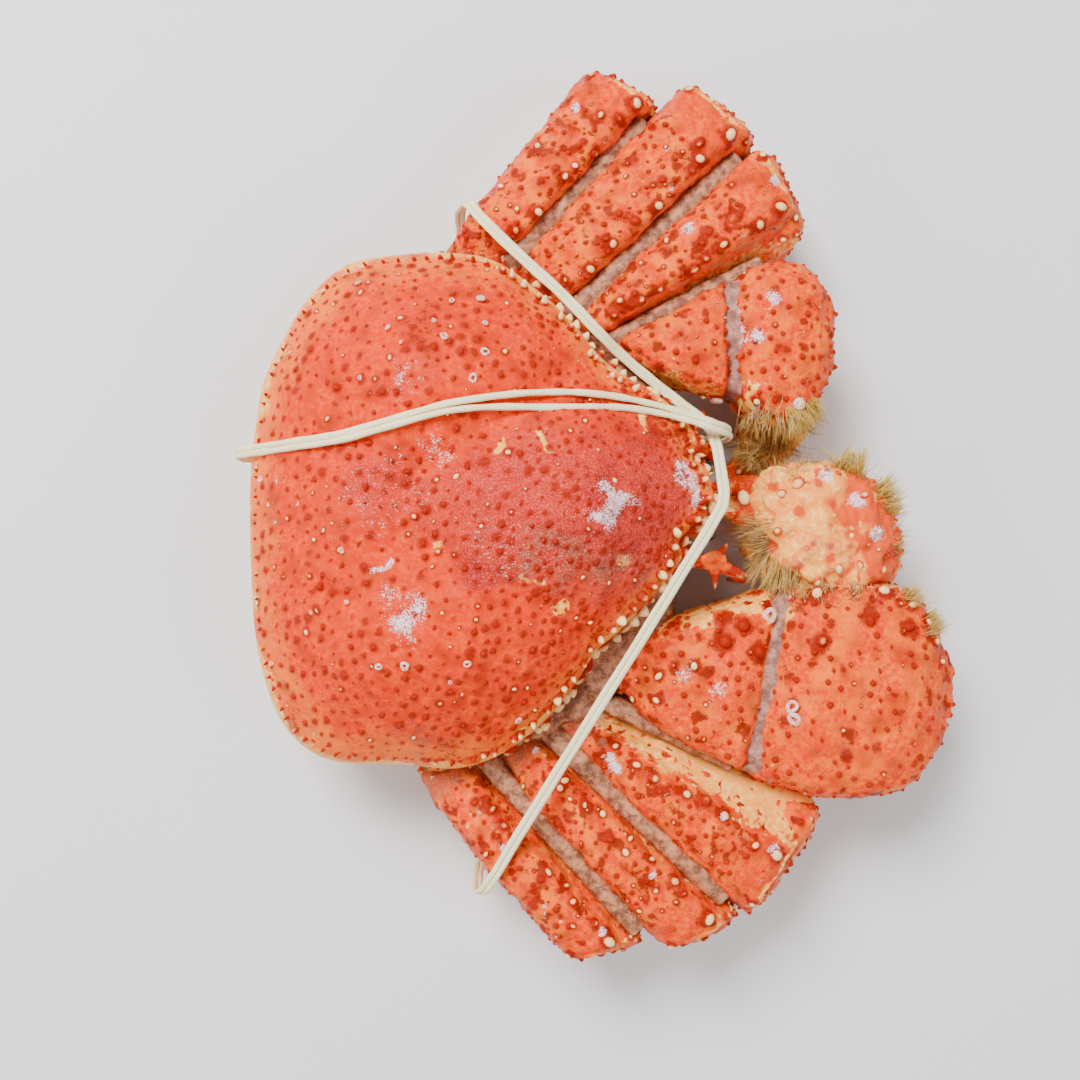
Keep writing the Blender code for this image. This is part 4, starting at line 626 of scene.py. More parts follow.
def studs(bases, normals, radii, heights, sharpness, tones, sides=8, levels=4, sink=0.35, foot=True):
    """Knobs, granules and cones in one mesh. Each has oval rings at shares s of its height whose
    radius is (1 - s^e)^(1/e) of its base, a dome at e = 2 and a cone at e = 1, and a tip; each
    leans and is drawn out by a small seeded amount."""
    source = np.random.default_rng(len(bases))
    bases, normals = np.asarray(bases, float), unit(np.asarray(normals, float))
    normals = unit(normals + 0.13 * source.normal(size=normals.shape))
    radii, heights = np.asarray(radii, float)[:, None], np.asarray(heights, float)[:, None]
    power = np.asarray(sharpness, float)[:, None]
    side = unit(np.cross(normals, source.normal(size=normals.shape)))
    other = np.cross(normals, side)
    stretch = source.uniform(0.0, 0.24, (len(bases), 1))
    side, other = side * (1 + stretch), other * (1 - stretch)
    shares = np.linspace(0.0, 0.88, levels)[None]
    widths = radii * (1 - shares ** power) ** (1 / power)
    ups = heights * shares
    widths = np.concatenate([radii * 1.12, widths], axis=1)
    ups = np.concatenate([np.full_like(radii, -sink), ups], axis=1)
    glow = np.concatenate([np.full_like(shares[:, :1], 0.9), 1 + shares], axis=1)
    glow = glow if foot else np.where(glow > 1.4, glow, 0.2)
    angles = 2 * np.pi * np.arange(sides) / sides
    spokes = (side[:, None, None] * np.cos(angles)[:, None]
              + other[:, None, None] * np.sin(angles)[:, None])
    rings = (bases[:, None, None] + normals[:, None, None] * ups[..., None, None]
             + spokes * widths[..., None, None])
    tips = bases + normals * heights
    count, rows = len(bases), levels + 1
    size = rows * sides + 1
    points = np.concatenate([rings.reshape(count, -1, 3), tips[:, None]], axis=1)
    place = np.arange(sides)
    fans = np.stack([size - 1 - sides + place, size - 1 - sides + (place + 1) % sides,
                     np.full(sides, size - 1)], axis=1)
    offsets = (np.arange(count) * size)[:, None, None]
    faces = (grid_quads(rows, sides) + offsets).reshape(-1, 4).tolist()
    faces += (fans + offsets).reshape(-1, 3).tolist()
    faces += (place[::-1][None] + offsets[:, 0]).tolist()
    granule = np.concatenate([np.repeat(np.broadcast_to(glow, (count, rows)), sides, axis=1),
                              np.full((count, 1), 2.0)], axis=1)
    tone = np.repeat(np.asarray(tones, float)[:, None], size, axis=1)
    return points.reshape(-1, 3), faces, {"granule": granule.ravel(), "tone": tone.ravel()}


def spines_between(bases, tips, radii, sharpness, tone, sink):
    """Slender spines without a dark foot, from each base to its tip."""
    count, aim = len(bases), tips - bases
    return studs(bases, aim, np.broadcast_to(radii, count), np.linalg.norm(aim, axis=1),
                 np.full(count, sharpness), np.full(count, tone), sides=14, levels=10, sink=sink,
                 foot=False)


def scattered(weights, points, spacing, tries, source):
    """Indices of points picked by weight, none nearer to an earlier one than its spacing."""
    weights = weights.ravel() / weights.sum()
    flat = points.reshape(-1, 3)
    spacing = np.broadcast_to(spacing, len(flat))
    taken = []
    places = np.empty((0, 3))
    for index in source.choice(len(flat), size=tries, p=weights):
        near = np.sum((places - flat[index]) ** 2, axis=1)
        if taken and near.min() < spacing[index] ** 2:
            continue
        taken.append(index)
        places = np.vstack((places, flat[index]))
    return np.array(taken)


def shell_height(x, y, share):
    """Height of the carapace: margin height, plus a dome (1 - share^2.6)^0.72 high, plus round
    swellings, less a groove along a hyperbola behind the stomach region."""
    y = np.abs(y)
    height = along_table(x, MARGIN_HEIGHT)
    height = height + along_table(x, DOME_RISE) * (1 - share ** DOME_POWERS[0]) ** DOME_POWERS[1]
    inside = 1 - share ** NOTCH_POWER
    for rise, at_x, at_y, reach_x, reach_y in REGIONS:
        height = height + rise * inside * np.exp(-((x - at_x) / reach_x) ** 2
                                                 - ((y - at_y) / reach_y) ** 2)
    return height - GROOVE_DEPTH * inside * np.exp(-(past_groove(x, y) / GROOVE_WIDTH) ** 2)


def past_groove(x, y):
    """Distance in front of the groove's line, x = base + slope * sqrt(y^2 + round^2)."""
    bow = np.sqrt(y ** 2 + GROOVE_ROUND ** 2)
    return (x - GROOVE_BASE - GROOVE_SLOPE * bow) / np.sqrt(1 + (GROOVE_SLOPE * y / bow) ** 2)


class Outline:
    """The carapace's margin, walked by its share of the way round, and the averaged reach that
    the rings inside it follow."""

    def __init__(self):
        dense = curve_through(CARAPACE_LEFT + CARAPACE_RIGHT[::-1], 4000, closed=True)
        steps = np.linalg.norm(np.roll(dense, -1, axis=0) - dense, axis=1)
        self.travelled = np.concatenate(([0.0], np.cumsum(steps))) / steps.sum()
        spokes = dense - np.array(CARAPACE_CENTRE)
        reach = np.linalg.norm(spokes, axis=1)
        angles = np.arctan2(spokes[:, 1], spokes[:, 0])
        order = np.argsort(angles)
        turns = np.radians(np.linspace(-NOTCH_AVERAGE, NOTCH_AVERAGE, 9))
        smooth = np.mean([np.interp(angles + turn, angles[order], reach[order], period=2 * math.pi)
                          for turn in turns], axis=0)
        table = np.column_stack([spokes, reach, smooth])
        self.table = np.vstack((table, table[:1]))
        self.angles, self.reach = angles[order], reach[order]

    def plan(self, place, share):
        """Plan points: the averaged outline scaled by the share, taking up the margin's own
        notches with the share to the fourth power."""
        columns = [np.interp(place % 1.0, self.travelled, self.table[:, k]) for k in range(4)]
        along_x, along_y, reach, smooth = columns
        out = share * (smooth + (reach - smooth) * share ** NOTCH_POWER) / reach
        return CARAPACE_CENTRE[0] + along_x * out, CARAPACE_CENTRE[1] + along_y * out

    def share_at(self, x, y):
        away_x, away_y = x - CARAPACE_CENTRE[0], y - CARAPACE_CENTRE[1]
        reach = np.interp(np.arctan2(away_y, away_x), self.angles, self.reach, period=2 * math.pi)
        return np.minimum(1.0, np.hypot(away_x, away_y) / reach)


class Nodes:
    """Short ways to add the nodes that the materials share."""

    def __init__(self, tree):
        self.tree = tree

    def add(self, kind, **properties):
        node = self.tree.nodes.new("ShaderNode" + kind)
        for label, value in properties.items():
            setattr(node, label, value)
        return node

    def connect(self, node, sources):
        """Links or sets inputs of a node, each a socket, a colour or a number, by name or index."""
        for label, source in sources.items():
            if isinstance(source, bpy.types.NodeSocket):
                self.tree.links.new(source, node.inputs[label])
            else:
                colour = isinstance(source, tuple)
                node.inputs[label].default_value = (*source, 1.0) if colour else source

    def place(self):
        return self.add("TexCoord").outputs["Object"]

    def noise(self, place, scale, detail, roughness):
        node = self.add("TexNoise")
        self.connect(node, {"Scale": scale, "Detail": detail, "Roughness": roughness, "Vector": place})
        return node.outputs["Fac"]

    def value(self, label):
        return self.add("Attribute", attribute_name=label).outputs["Fac"]

    def maths(self, operation, *sources, clamp=False):
        node = self.add("Math", operation=operation, use_clamp=clamp)
        self.connect(node, dict(enumerate(sources)))
        return node.outputs[0]

    def times(self, first, second):
        return self.maths("MULTIPLY", first, second)

    def sum(self, *sources):
        total = sources[0]
        for source in sources[1:]:
            total = self.maths("ADD", total, source)
        return total

    def spread(self, noise, amount):
        """The noise about its middle, times the amount."""
        return self.maths("MULTIPLY_ADD", noise, amount, -0.5 * amount)

    def ramp(self, source, low, high):
        node = self.add("MapRange", interpolation_type="SMOOTHSTEP")
        self.connect(node, {"Value": source, "From Min": low, "From Max": high})
        return node.outputs["Result"]

    def ragged(self, source, noises, low, high):
        """A smooth rise from 0 to 1 between low and high, its edge roughened by (noise, amount)."""
        return self.ramp(self.sum(source, *(self.spread(*noise) for noise in noises)), low, high)

    def mix(self, share, first, second):
        node = self.add("Mix", data_type="RGBA", clamp_factor=True)
        self.connect(node, {0: share, 6: first, 7: second})
        return node.outputs[2]

    def finish(self, colour, relief=None, **values):
        """Links the colour and the relief, as (height, strength, distance), to the shader, and
        links or sets its other inputs, named with an underscore for each space."""
        values = {label.replace("_", " "): value for label, value in values.items()}
        if relief:
            bump = self.add("Bump")
            self.connect(bump, dict(zip(("Height", "Strength", "Distance"), relief)))
            values["Normal"] = bump.outputs["Normal"]
        self.connect(self.tree.nodes["Principled BSDF"], {"Base Color": colour, **values})


def tint_group():
    """Node group: the shell's colour, roughness and relief from its named values. Two noises
    mottle the main colour; cream, rose, grey and frost come in by their own values, roughened
    by the same noises, the grey partly the shell's own and partly painted shade; the granules turn
    dark red to their edge and pale at their tip."""
    group = bpy.data.node_groups.new("shell_tint", "ShaderNodeTree")
    for label, kind, way in (("Main", "Color", "INPUT"), ("Light", "Color", "INPUT"),
                             ("Deep", "Color", "INPUT"), ("Mottle", "Float", "INPUT"),
                             ("Colour", "Color", "OUTPUT"), ("Roughness", "Float", "OUTPUT"),
                             ("Height", "Float", "OUTPUT")):
        group.interface.new_socket(label, in_out=way, socket_type="NodeSocket" + kind)
    maker = Nodes(group)
    given = group.nodes.new("NodeGroupInput").outputs
    main, light, deep, mottle = (given[label] for label in ("Main", "Light", "Deep", "Mottle"))
    place = maker.place()
    broad = maker.noise(place, 190.0, 4.0, 0.62)
    fine = maker.noise(place, 760.0, 5.0, 0.68)
    specks = maker.noise(place, 2400.0, 3.0, 0.7)
    value = {label: maker.value(label) for label in
             ("granule", "tone", "cream", "rose", "peach", "grey", "frost", "red")}

    colour = maker.mix(maker.ramp(fine, 0.40, 0.66), main, light)
    soft = maker.ragged(value["peach"], ((broad, 0.7), (fine, 0.9)), 0.1, 1.0)
    colour = maker.mix(soft, colour, PEACH)
    mottled = maker.times(maker.ramp(broad, 0.48, 0.70), mottle)
    blotch = maker.ragged(value["red"], ((fine, 1.4), (broad, 0.5)), 0.40, 0.82)
    pink = maker.ragged(value["rose"], ((fine, 0.9),), 0.25, 0.95)
    pale = maker.ragged(value["cream"], ((fine, 1.0), (broad, 0.5)), 0.40, 0.66)
    # The grey value carries both grey marks of the shell and painted shade in creases, beside the groove
    # and on low sides.
    grey_and_shade = maker.ragged(value["grey"], ((fine, 0.8), (specks, 0.6)), 0.25, 0.95)
    halo = maker.ragged(value["granule"], ((fine, 1.2),), 0.45, 1.30)
    ice = maker.ragged(value["frost"], ((specks, 1.7), (fine, 1.3)), 0.38, 0.72)
    for share, strength, over in (
            (mottled, 0.5, deep), (blotch, 0.88, deep),
            (pink, 0.82, maker.mix(maker.ramp(specks, 0.42, 0.72), ROSE, PALE_ROSE)),
            (pale, 1.0, maker.mix(maker.ramp(fine, 0.48, 0.74), CREAM, IVORY)),
            (grey_and_shade, 0.85, maker.mix(maker.ramp(specks, 0.4, 0.65), GREY_BROWN, LIGHT_GREY_BROWN)),
            (halo, 0.90, maker.mix(specks, deep, GRANULE_RED))):
        colour = maker.mix(maker.times(share, strength), colour, over)
    tip_start = maker.maths("MULTIPLY_ADD", value["tone"], -0.85, 2.02)
    rough_tip = maker.sum(value["granule"], maker.spread(fine, 0.5), maker.spread(specks, 0.4))
    tip = maker.maths("MULTIPLY", maker.maths("SUBTRACT", rough_tip, tip_start), 3.2, clamp=True)
    colour = maker.mix(tip, colour, maker.mix(value["tone"], TIP_ORANGE, TIP_IVORY))
    colour = maker.mix(maker.times(ice, 0.85), colour,
                       maker.mix(maker.ramp(specks, 0.42, 0.56), LILAC, FROST_WHITE))

    roughness = maker.maths("MULTIPLY_ADD", fine, 0.34, 0.28)
    roughness = maker.sum(roughness, maker.times(maker.sum(ice, grey_and_shade), 0.2))
    relief = maker.sum(maker.times(fine, 0.7), maker.times(specks, 0.4), maker.times(ice, 0.35))
    maker.connect(group.nodes.new("NodeGroupOutput"),
                  {"Colour": colour, "Roughness": roughness, "Height": relief})
    return group


def new_material(name):
    material = bpy.data.materials.new(name)
    material.use_nodes = True
    return material, Nodes(material.node_tree)


def shell_material(name, main, light, deep, mottle=1.0):
    """A shell finish: the shared tint with its own colours, under a thin wet coat."""
    material, maker = new_material(name)
    node = maker.add("Group", node_tree=SHELL_TINT)
    maker.connect(node, {"Main": main, "Light": light, "Deep": deep, "Mottle": mottle})
    maker.finish(node.outputs["Colour"], (node.outputs["Height"], 0.55, 0.0005),
                 Roughness=node.outputs["Roughness"], Coat_Weight=0.02, Coat_Roughness=0.3,
                 Specular_IOR_Level=0.14, Specular_Tint=(1.0, 0.5, 0.28),
                 Subsurface_Weight=0.06, Subsurface_Scale=0.002)
    return material


def skin_material(name, dark, light, specks):
    """Joint skin: mottled by one noise, with small pale specks from a finer one."""
    material, maker = new_material(name)
    place = maker.place()
    broad = maker.noise(place, 420.0, 6.0, 0.68)
    fine = maker.noise(place, 2600.0, 3.0, 0.7)
    colour = maker.mix(maker.ramp(broad, 0.38, 0.64), dark, light)
    colour = maker.mix(maker.ramp(fine, 0.60, 0.78), colour, specks)
    maker.finish(colour, (fine, 0.4, 0.0003), Roughness=0.5, Specular_IOR_Level=0.2,
                 Coat_Weight=0.05, Coat_Roughness=0.25)
    return material


def band_material():
    """Elastic cord: ivory rubber with a woven cover of fine lengthwise threads, and painted shade in the
    grooves between them.
    """
    material, maker = new_material("elastic_band")
    fine = maker.noise(maker.place(), 1800.0, 4.0, 0.7)
    colour = maker.mix(maker.ramp(fine, 0.3, 0.75), BAND_SHADE, BAND_IVORY)
    # Painted shade: the colour darkens towards BAND_GROOVE in the grooves between the cord's ridges.
    colour = maker.mix(maker.times(maker.value("thread"), 0.5), colour, BAND_GROOVE)
    maker.finish(colour, (fine, 0.6, 0.0004), Roughness=0.62)
    return material


def bristle_material():
    """Bristles: brown at the root, straw yellow at the tip, some olive, with darker patches."""
    material, maker = new_material("bristles")
    colour = maker.mix(maker.value("out"), BRISTLE_BROWN, STRAW)
    colour = maker.mix(maker.times(maker.value("tone"), 0.8), colour, OLIVE)
    patches = maker.ramp(maker.noise(maker.place(), 420.0, 3.0, 0.6), 0.50, 0.7)
    maker.finish(maker.mix(patches, colour, BRISTLE_TAN), Roughness=0.5)
    return material


def eye_material():
    """Eye: black, faintly brown, under a clear wet coat, with a fine net of facets."""
    material, maker = new_material("eye_black")
    place = maker.place()
    cells = maker.add("TexVoronoi")
    maker.connect(cells, {"Scale": 9000.0, "Vector": place})
    colour = maker.mix(maker.ramp(maker.noise(place, 700.0, 3.0, 0.6), 0.4, 0.8), EYE_BLACK, EYE_BROWN)
    maker.finish(colour, (cells.outputs["Distance"], 0.15, 0.0001), Roughness=0.12,
                 Coat_Weight=0.8, Coat_Roughness=0.05)
    return material


SHELL_TINT = tint_group()
SHELL = shell_material("shell_orange", ORANGE, LIGHT_ORANGE, DEEP_RED)
LIMB = shell_material("limb_orange", LIMB_ORANGE, LIGHT_LIMB, LIMB_RED, 1.1)
PALE = shell_material("pale_shell", PALE_ORANGE, LIGHT_PALE, PALE_RED, 0.8)
# The skin of the flanks and creases: its dark brown is partly painted shade.
SKIN = skin_material("crease_skin", SKIN_AND_SHADE_BROWN, LIGHT_SKIN, SKIN_SPECKS)
ELBOW_SKIN = skin_material("elbow_skin", ELBOW_BROWN, LIGHT_ELBOW, ELBOW_SPECKS)
BAND = band_material()
BRISTLE = bristle_material()
EYE = eye_material()
outline = Outline()


def carapace_grid():
    """The back shell on a square grid: a point's share of the way out is the larger of its two
    coordinates, and its place round the margin is its place round that square."""
    across, along = np.meshgrid(np.linspace(-1, 1, SHELL_SIDE), np.linspace(-1, 1, SHELL_SIDE),
                                indexing="ij")
    share = np.maximum(abs(across), abs(along))
    safe = np.maximum(share, 1e-9)
    s, t = across / safe, along / safe
    place = np.select([s >= 1 - 1e-9, t >= 1 - 1e-9, s <= -1 + 1e-9],
                      [(t + 1) / 8, 0.25 + (1 - s) / 8, 0.5 + (1 - t) / 8], 0.75 + (s + 1) / 8)
    x, y = outline.plan(place, share)
    return np.stack([x, y, shell_height(x, y, share)], axis=-1), share


def grid_normals(grid):
    """Upward normals of a sheet: the cross product of the steps along its two directions."""
    normals = unit(np.cross(np.gradient(grid, axis=0), np.gradient(grid, axis=1)))
    return normals * np.sign(normals[..., 2:].mean())


def make_carapace():
    """The back shell with its mounds, then its rounded rim and its underside, and on it the
    granules, the cones of its margin and the spines of the rostrum."""
    grid, share = carapace_grid()
    normals = grid_normals(grid)
    weight = np.where(share < 0.965, 1.0, 0.0)
    front = smooth_step(grid[..., 0], 35.0, 85.0)
    spacing = 2.75 - 0.75 * front + 0.25 * ripple(grid, 18.0, 3)
    picked = scattered(weight, grid, spacing.ravel(), GRANULE_TRIES, chance)
    flat, flat_normals = grid.reshape(-1, 3), normals.reshape(-1, 3)
    sizes = (0.40 + 0.72 * chance.random(len(picked)) ** 1.5) * (1.0 - 0.10 * front.ravel()[picked])
    centres = flat[picked]
    near = spot_field(grid + 0.22 * ripple(grid, 1.6, 7)[..., None], centres, sizes)
    mound = 0.26 * smooth_step(near, 0.2, 1.7)
    edge = 0.25 * ripple(grid, 7.0, 5) + 0.12 * ripple(grid, 2.6, 6)
    grid = grid + normals * (mound + edge * (1 - share ** 8))[..., None]

    rim_order = np.concatenate([np.arange(SHELL_SIDE) * SHELL_SIDE,
                                (SHELL_SIDE - 1) * SHELL_SIDE + np.arange(1, SHELL_SIDE),
                                np.arange(SHELL_SIDE - 2, -1, -1) * SHELL_SIDE + SHELL_SIDE - 1,
                                np.arange(SHELL_SIDE - 2, 0, -1)])
    edge_points = grid.reshape(-1, 3)[rim_order]
    centre = np.array(CARAPACE_CENTRE)
    rings = []
    for inward, drop in RIM_STEPS:
        plan = centre + (edge_points[:, :2] - centre) * inward
        low = along_table(plan[:, 0], UNDERSIDE)
        rings.append(np.column_stack([plan, edge_points[:, 2] + (low - edge_points[:, 2]) * drop]))
    dome = SHELL_SIDE * SHELL_SIDE
    around = len(rim_order)
    index = [rim_order] + [dome + k * around + np.arange(around) for k in range(len(rings))]
    quads = [np.stack([upper, np.roll(upper, -1), np.roll(lower, -1), lower], axis=1)
             for upper, lower in zip(index, index[1:])]
    corner = (np.arange(SHELL_SIDE - 1)[:, None] * SHELL_SIDE + np.arange(SHELL_SIDE - 1)).ravel()
    quads.append(np.stack([corner, corner + 1, corner + SHELL_SIDE + 1, corner + SHELL_SIDE], axis=1))
    last = dome + len(rings) * around
    floor_point = (*centre, float(along_table(centre[0], UNDERSIDE)))
    points = np.concatenate([grid.reshape(-1, 3), *rings, [floor_point]])
    fans = np.stack([np.roll(index[-1], -1), index[-1], np.full(around, last)], axis=1)
    faces = facing_out(points, np.concatenate(quads), fans)

    full_share = np.concatenate([share.ravel(), np.ones(len(points) - dome)])
    under = np.concatenate([np.zeros(dome), np.ones(len(points) - dome)])
    fields = carapace_fields(points, full_share, under)
    strength = np.clip(0.95 + 0.25 * ripple(grid, 13.0, 8), 0.5, 1.2)
    fields["granule"] = np.concatenate([(near * strength).ravel(), np.zeros(len(points) - dome)])
    make_piece("shell_back", (points, faces, fields), SHELL, "shell", "carapace")

    heights = sizes * chance.uniform(0.50, 0.75, len(picked))
    tones = np.where(chance.random(len(picked)) < 0.12, chance.uniform(0.5, 1.0, len(picked)),
                     chance.uniform(-0.6, 0.05, len(picked)))
    parts = [studs(centres, flat_normals[picked], sizes * 0.72, heights, np.full(len(picked), 1.7), tones)]
    parts += margin_cones()
    base, tip, radius = (np.array([s[k] for s in ROSTRUM_SPINES]) for k in range(3))
    parts.append(spines_between(base, tip, radius, 1.25, 0.6, sink=1.0))
    geometry = joined(parts)
    none = np.zeros(len(geometry[0]))
    for label, values in carapace_fields(geometry[0], none, none).items():
        geometry[2][label] = values * (0.0 if label in ("cream", "peach") else 0.7)
    make_piece("shell_granules", geometry, SHELL, "shell")


def carapace_fields(points, share, under):
    """Where the shell turns cream at its margin, pink over the stomach, grey (in part painted shade of the
    groove) and frosted.
    """
    wander = ripple(points, 9.0, 11)
    moved = points[..., :2] + 1.7 * np.stack([ripple(points, 7.0, 13), ripple(points, 7.0, 14)], axis=-1)
    x, y = points[..., 0], points[..., 1]
    side = smooth_step(np.abs(y), 8.0, 30.0)
    front = smooth_step(x, 60.0, 84.0)
    stomach = smooth_step(past_groove(x, y), -1.0, 3.5) * smooth_step(0.99 - share, 0.0, 0.12)
    cream = smooth_step(share + 0.02 * wander, 0.93, 1.0) * (0.42 + 0.28 * side)
    cream = np.maximum(cream, 0.9 * under) + blob_field(moved, CREAM_PATCHES)
    return {"cream": cream, "rose": blob_field(moved, ROSE_PATCHES) + 0.30 * stomach,
            "grey": blob_field(moved, GREY_AND_GROOVE_SHADE_PATCHES) * (0.85 + 0.25 * wander),
            "frost": blob_field(moved, FROST_PATCHES),
            "peach": 0.85 * smooth_step(share, 0.76, 0.98) + 0.12 * wander,
            "red": 0.20 + 0.16 * ripple(points, 14.0, 12) + 0.12 * front * side
            + blob_field(moved, RED_PATCHES)}


def margin_cones():
    """Two rows of cones round the margin, longer towards the front."""
    parts = []
    for count, inward, drop, scale in ((116, 0.6, 1.0, 1.0), (100, 2.6, -0.5, 0.65)):
        place = (np.arange(count) + chance.uniform(0.2, 0.8, count)) / count
        x, y = outline.plan(place, 1.0)
        out = unit(np.column_stack([x, y]) - np.array(CARAPACE_CENTRE))
        forward = smooth_step(x, 25.0, 75.0)
        long = (0.55 + 2.1 * forward * chance.uniform(0.45, 1.25, count)) * scale
        wide = (0.62 + 0.70 * forward) * scale * chance.uniform(0.75, 1.15, count)
        wide = wide * (1 + 0.38 * forward * (y < 0))
        base_x, base_y = x - out[:, 0] * inward, y - out[:, 1] * inward
        height = along_table(x, MARGIN_HEIGHT) - drop
        if inward > 2.0:
            share = outline.share_at(base_x, base_y)
            height = shell_height(base_x, base_y, share)
        lean = np.column_stack([out, np.full(count, 0.18 if inward < 2.0 else 1.1)])
        base = np.column_stack([base_x, base_y, height])
        tones = chance.uniform(-0.5, 0.3, count) + 0.85 * forward
        parts.append(studs(base, lean, wide, long + inward * 0.3, np.full(count, 1.6), tones,
                           sides=10, levels=5, sink=0.8))
    return parts


class Leg:
    """Plan of one folded walking leg, with points taken by share along and share across."""

    def __init__(self, name):
        self.name, self.number = name, name[4]
        self.rear, self.front = np.array(LEGS[name][0]), np.array(LEGS[name][1])
        self.length = np.linalg.norm(self.point(1.0, 0.0) - self.point(0.0, 0.0))

    def rims(self, along):
        """Plan points of the rear and the front edge at a share along."""
        return (edge[0] + (edge[1] - edge[0]) * along for edge in (self.rear, self.front))

    def point(self, along, across):
        rear, front = self.rims(along)
        return rear + (front - rear) * (0.5 + 0.5 * across)

    def edges(self, along, share=1.0):
        width = np.linalg.norm(self.point(along, 1.0) - self.point(along, -1.0))
        across = share * (1.0 - 2 * SEAM / width)
        return self.point(along, -across), self.point(along, across)

    def stations(self, table, start=0.0, reach=1.0):
        """Sections for lofted(), from rows of share along, share of the width, low and high."""
        return [(*self.edges(start + reach * along, share), low, high) for along, share, low, high in table]

    def places(self, points):
        """Share along and share across of each point, seen from above."""
        start, axis = self.point(0.0, 0.0), self.point(1.0, 0.0) - self.point(0.0, 0.0)
        along = ((points[..., :2] - start) @ axis) / (axis @ axis)
        rear, front = self.rims(along[..., None])
        over = front - rear
        across = 2 * np.sum((points[..., :2] - rear) * over, axis=-1) / np.sum(over ** 2, axis=-1) - 1
        return along, across


def stud_group(surface, spots, sharpness=1.7):
    """Studs at (row, column, radius, height, tone) of a surface, and the surface's own field of
    how near they are, which also raises low mounds under them."""
    rows, columns = np.array([s[0] for s in spots]), np.array([s[1] for s in spots])
    radii, heights, tones = (np.array([s[k] for s in spots]) for k in (2, 3, 4))
    centres, normals = surface.grid[rows, columns], surface.normals()[rows, columns]
    near = spot_field(surface.grid, centres, radii)
    shape = surface.grid.shape[:2]
    under = {label: 0.8 * np.broadcast_to(values, shape)[rows, columns]
             for label, values in surface.fields.items() if label != "granule"}
    surface.fields["granule"] = np.maximum(surface.fields.get("granule", 0.0), near)
    surface.lift(0.25 * smooth_step(near, 0.0, 1.5))
    geometry = studs(centres + normals * 0.12, normals, radii * 0.80, heights,
                     np.full(len(radii), sharpness), tones)
    each = len(geometry[0]) // len(radii)
    geometry[2].update({label: np.repeat(values, each) for label, values in under.items()})
    return geometry


def studded_piece(name, surface, spots, sharpness, material, slot, *nodes, mounds=True):
    """Makes a piece of a surface and its studs. With mounds, the surface swells and darkens round
    the foot of each stud."""
    plain = surface.geometry()
    knobs = stud_group(surface, spots, sharpness)
    skin = surface.geometry() if mounds else plain
    make_piece(name, joined([skin, knobs]), material, slot, *nodes)


def random_spots(surface, weight, spacing, tries, size, tone):
    """Spots for small granules, scattered by weight, as (row, column, radius, height, tone)."""
    rows, columns = surface.grid.shape[:2]
    weight = np.broadcast_to(weight, (rows, columns))
    picked = scattered(weight, surface.grid, spacing, tries, chance)
    radii = chance.uniform(*size, len(picked))
    tones = chance.uniform(*tone, len(picked))
    return [(k // columns, k % columns, r, r * chance.uniform(0.7, 1.0), t)
            for k, r, t in zip(picked, radii, tones)]


def merus_section(crest):
    """Shares across and up of a leg's section: a rounded rear side, a flat back and, from the
    crest, a front face that slopes down to the next leg."""
    slope = 1.0 - crest
    return ((-1.06, -0.45), (-1.06, 0.08), (-0.95, 0.58), (-0.68, 0.92), (-0.25, 1.0),
            (crest - 0.18, 1.0), (crest + 0.10, 0.86), (crest + 0.55 * slope, 0.44), (1.06, -0.04),
            (1.06, -0.50), (0.7, -1.0), (-0.7, -1.0))


def red_blotches(surface, spots, ragged=0.75):
    """Soft dark red patches at (row, column, radius, ...) of a surface, added to its own red."""
    centres = surface.grid[[s[0] for s in spots], [s[1] for s in spots]]
    bend = np.stack([ripple(surface.grid, 3.0, 15 + k) for k in range(3)], axis=-1)
    near = spot_field(surface.grid + ragged * bend, centres, [s[2] for s in spots])
    patchy = 0.80 + 0.22 * ripple(surface.grid, 7.0, 18)
    surface.fields["red"] = np.maximum(surface.fields["red"], patchy * smooth_step(near, 0.0, 1.7))
    surface.fields["cream"] = surface.fields["cream"] * (1 - 0.85 * smooth_step(near, 0.3, 1.4))


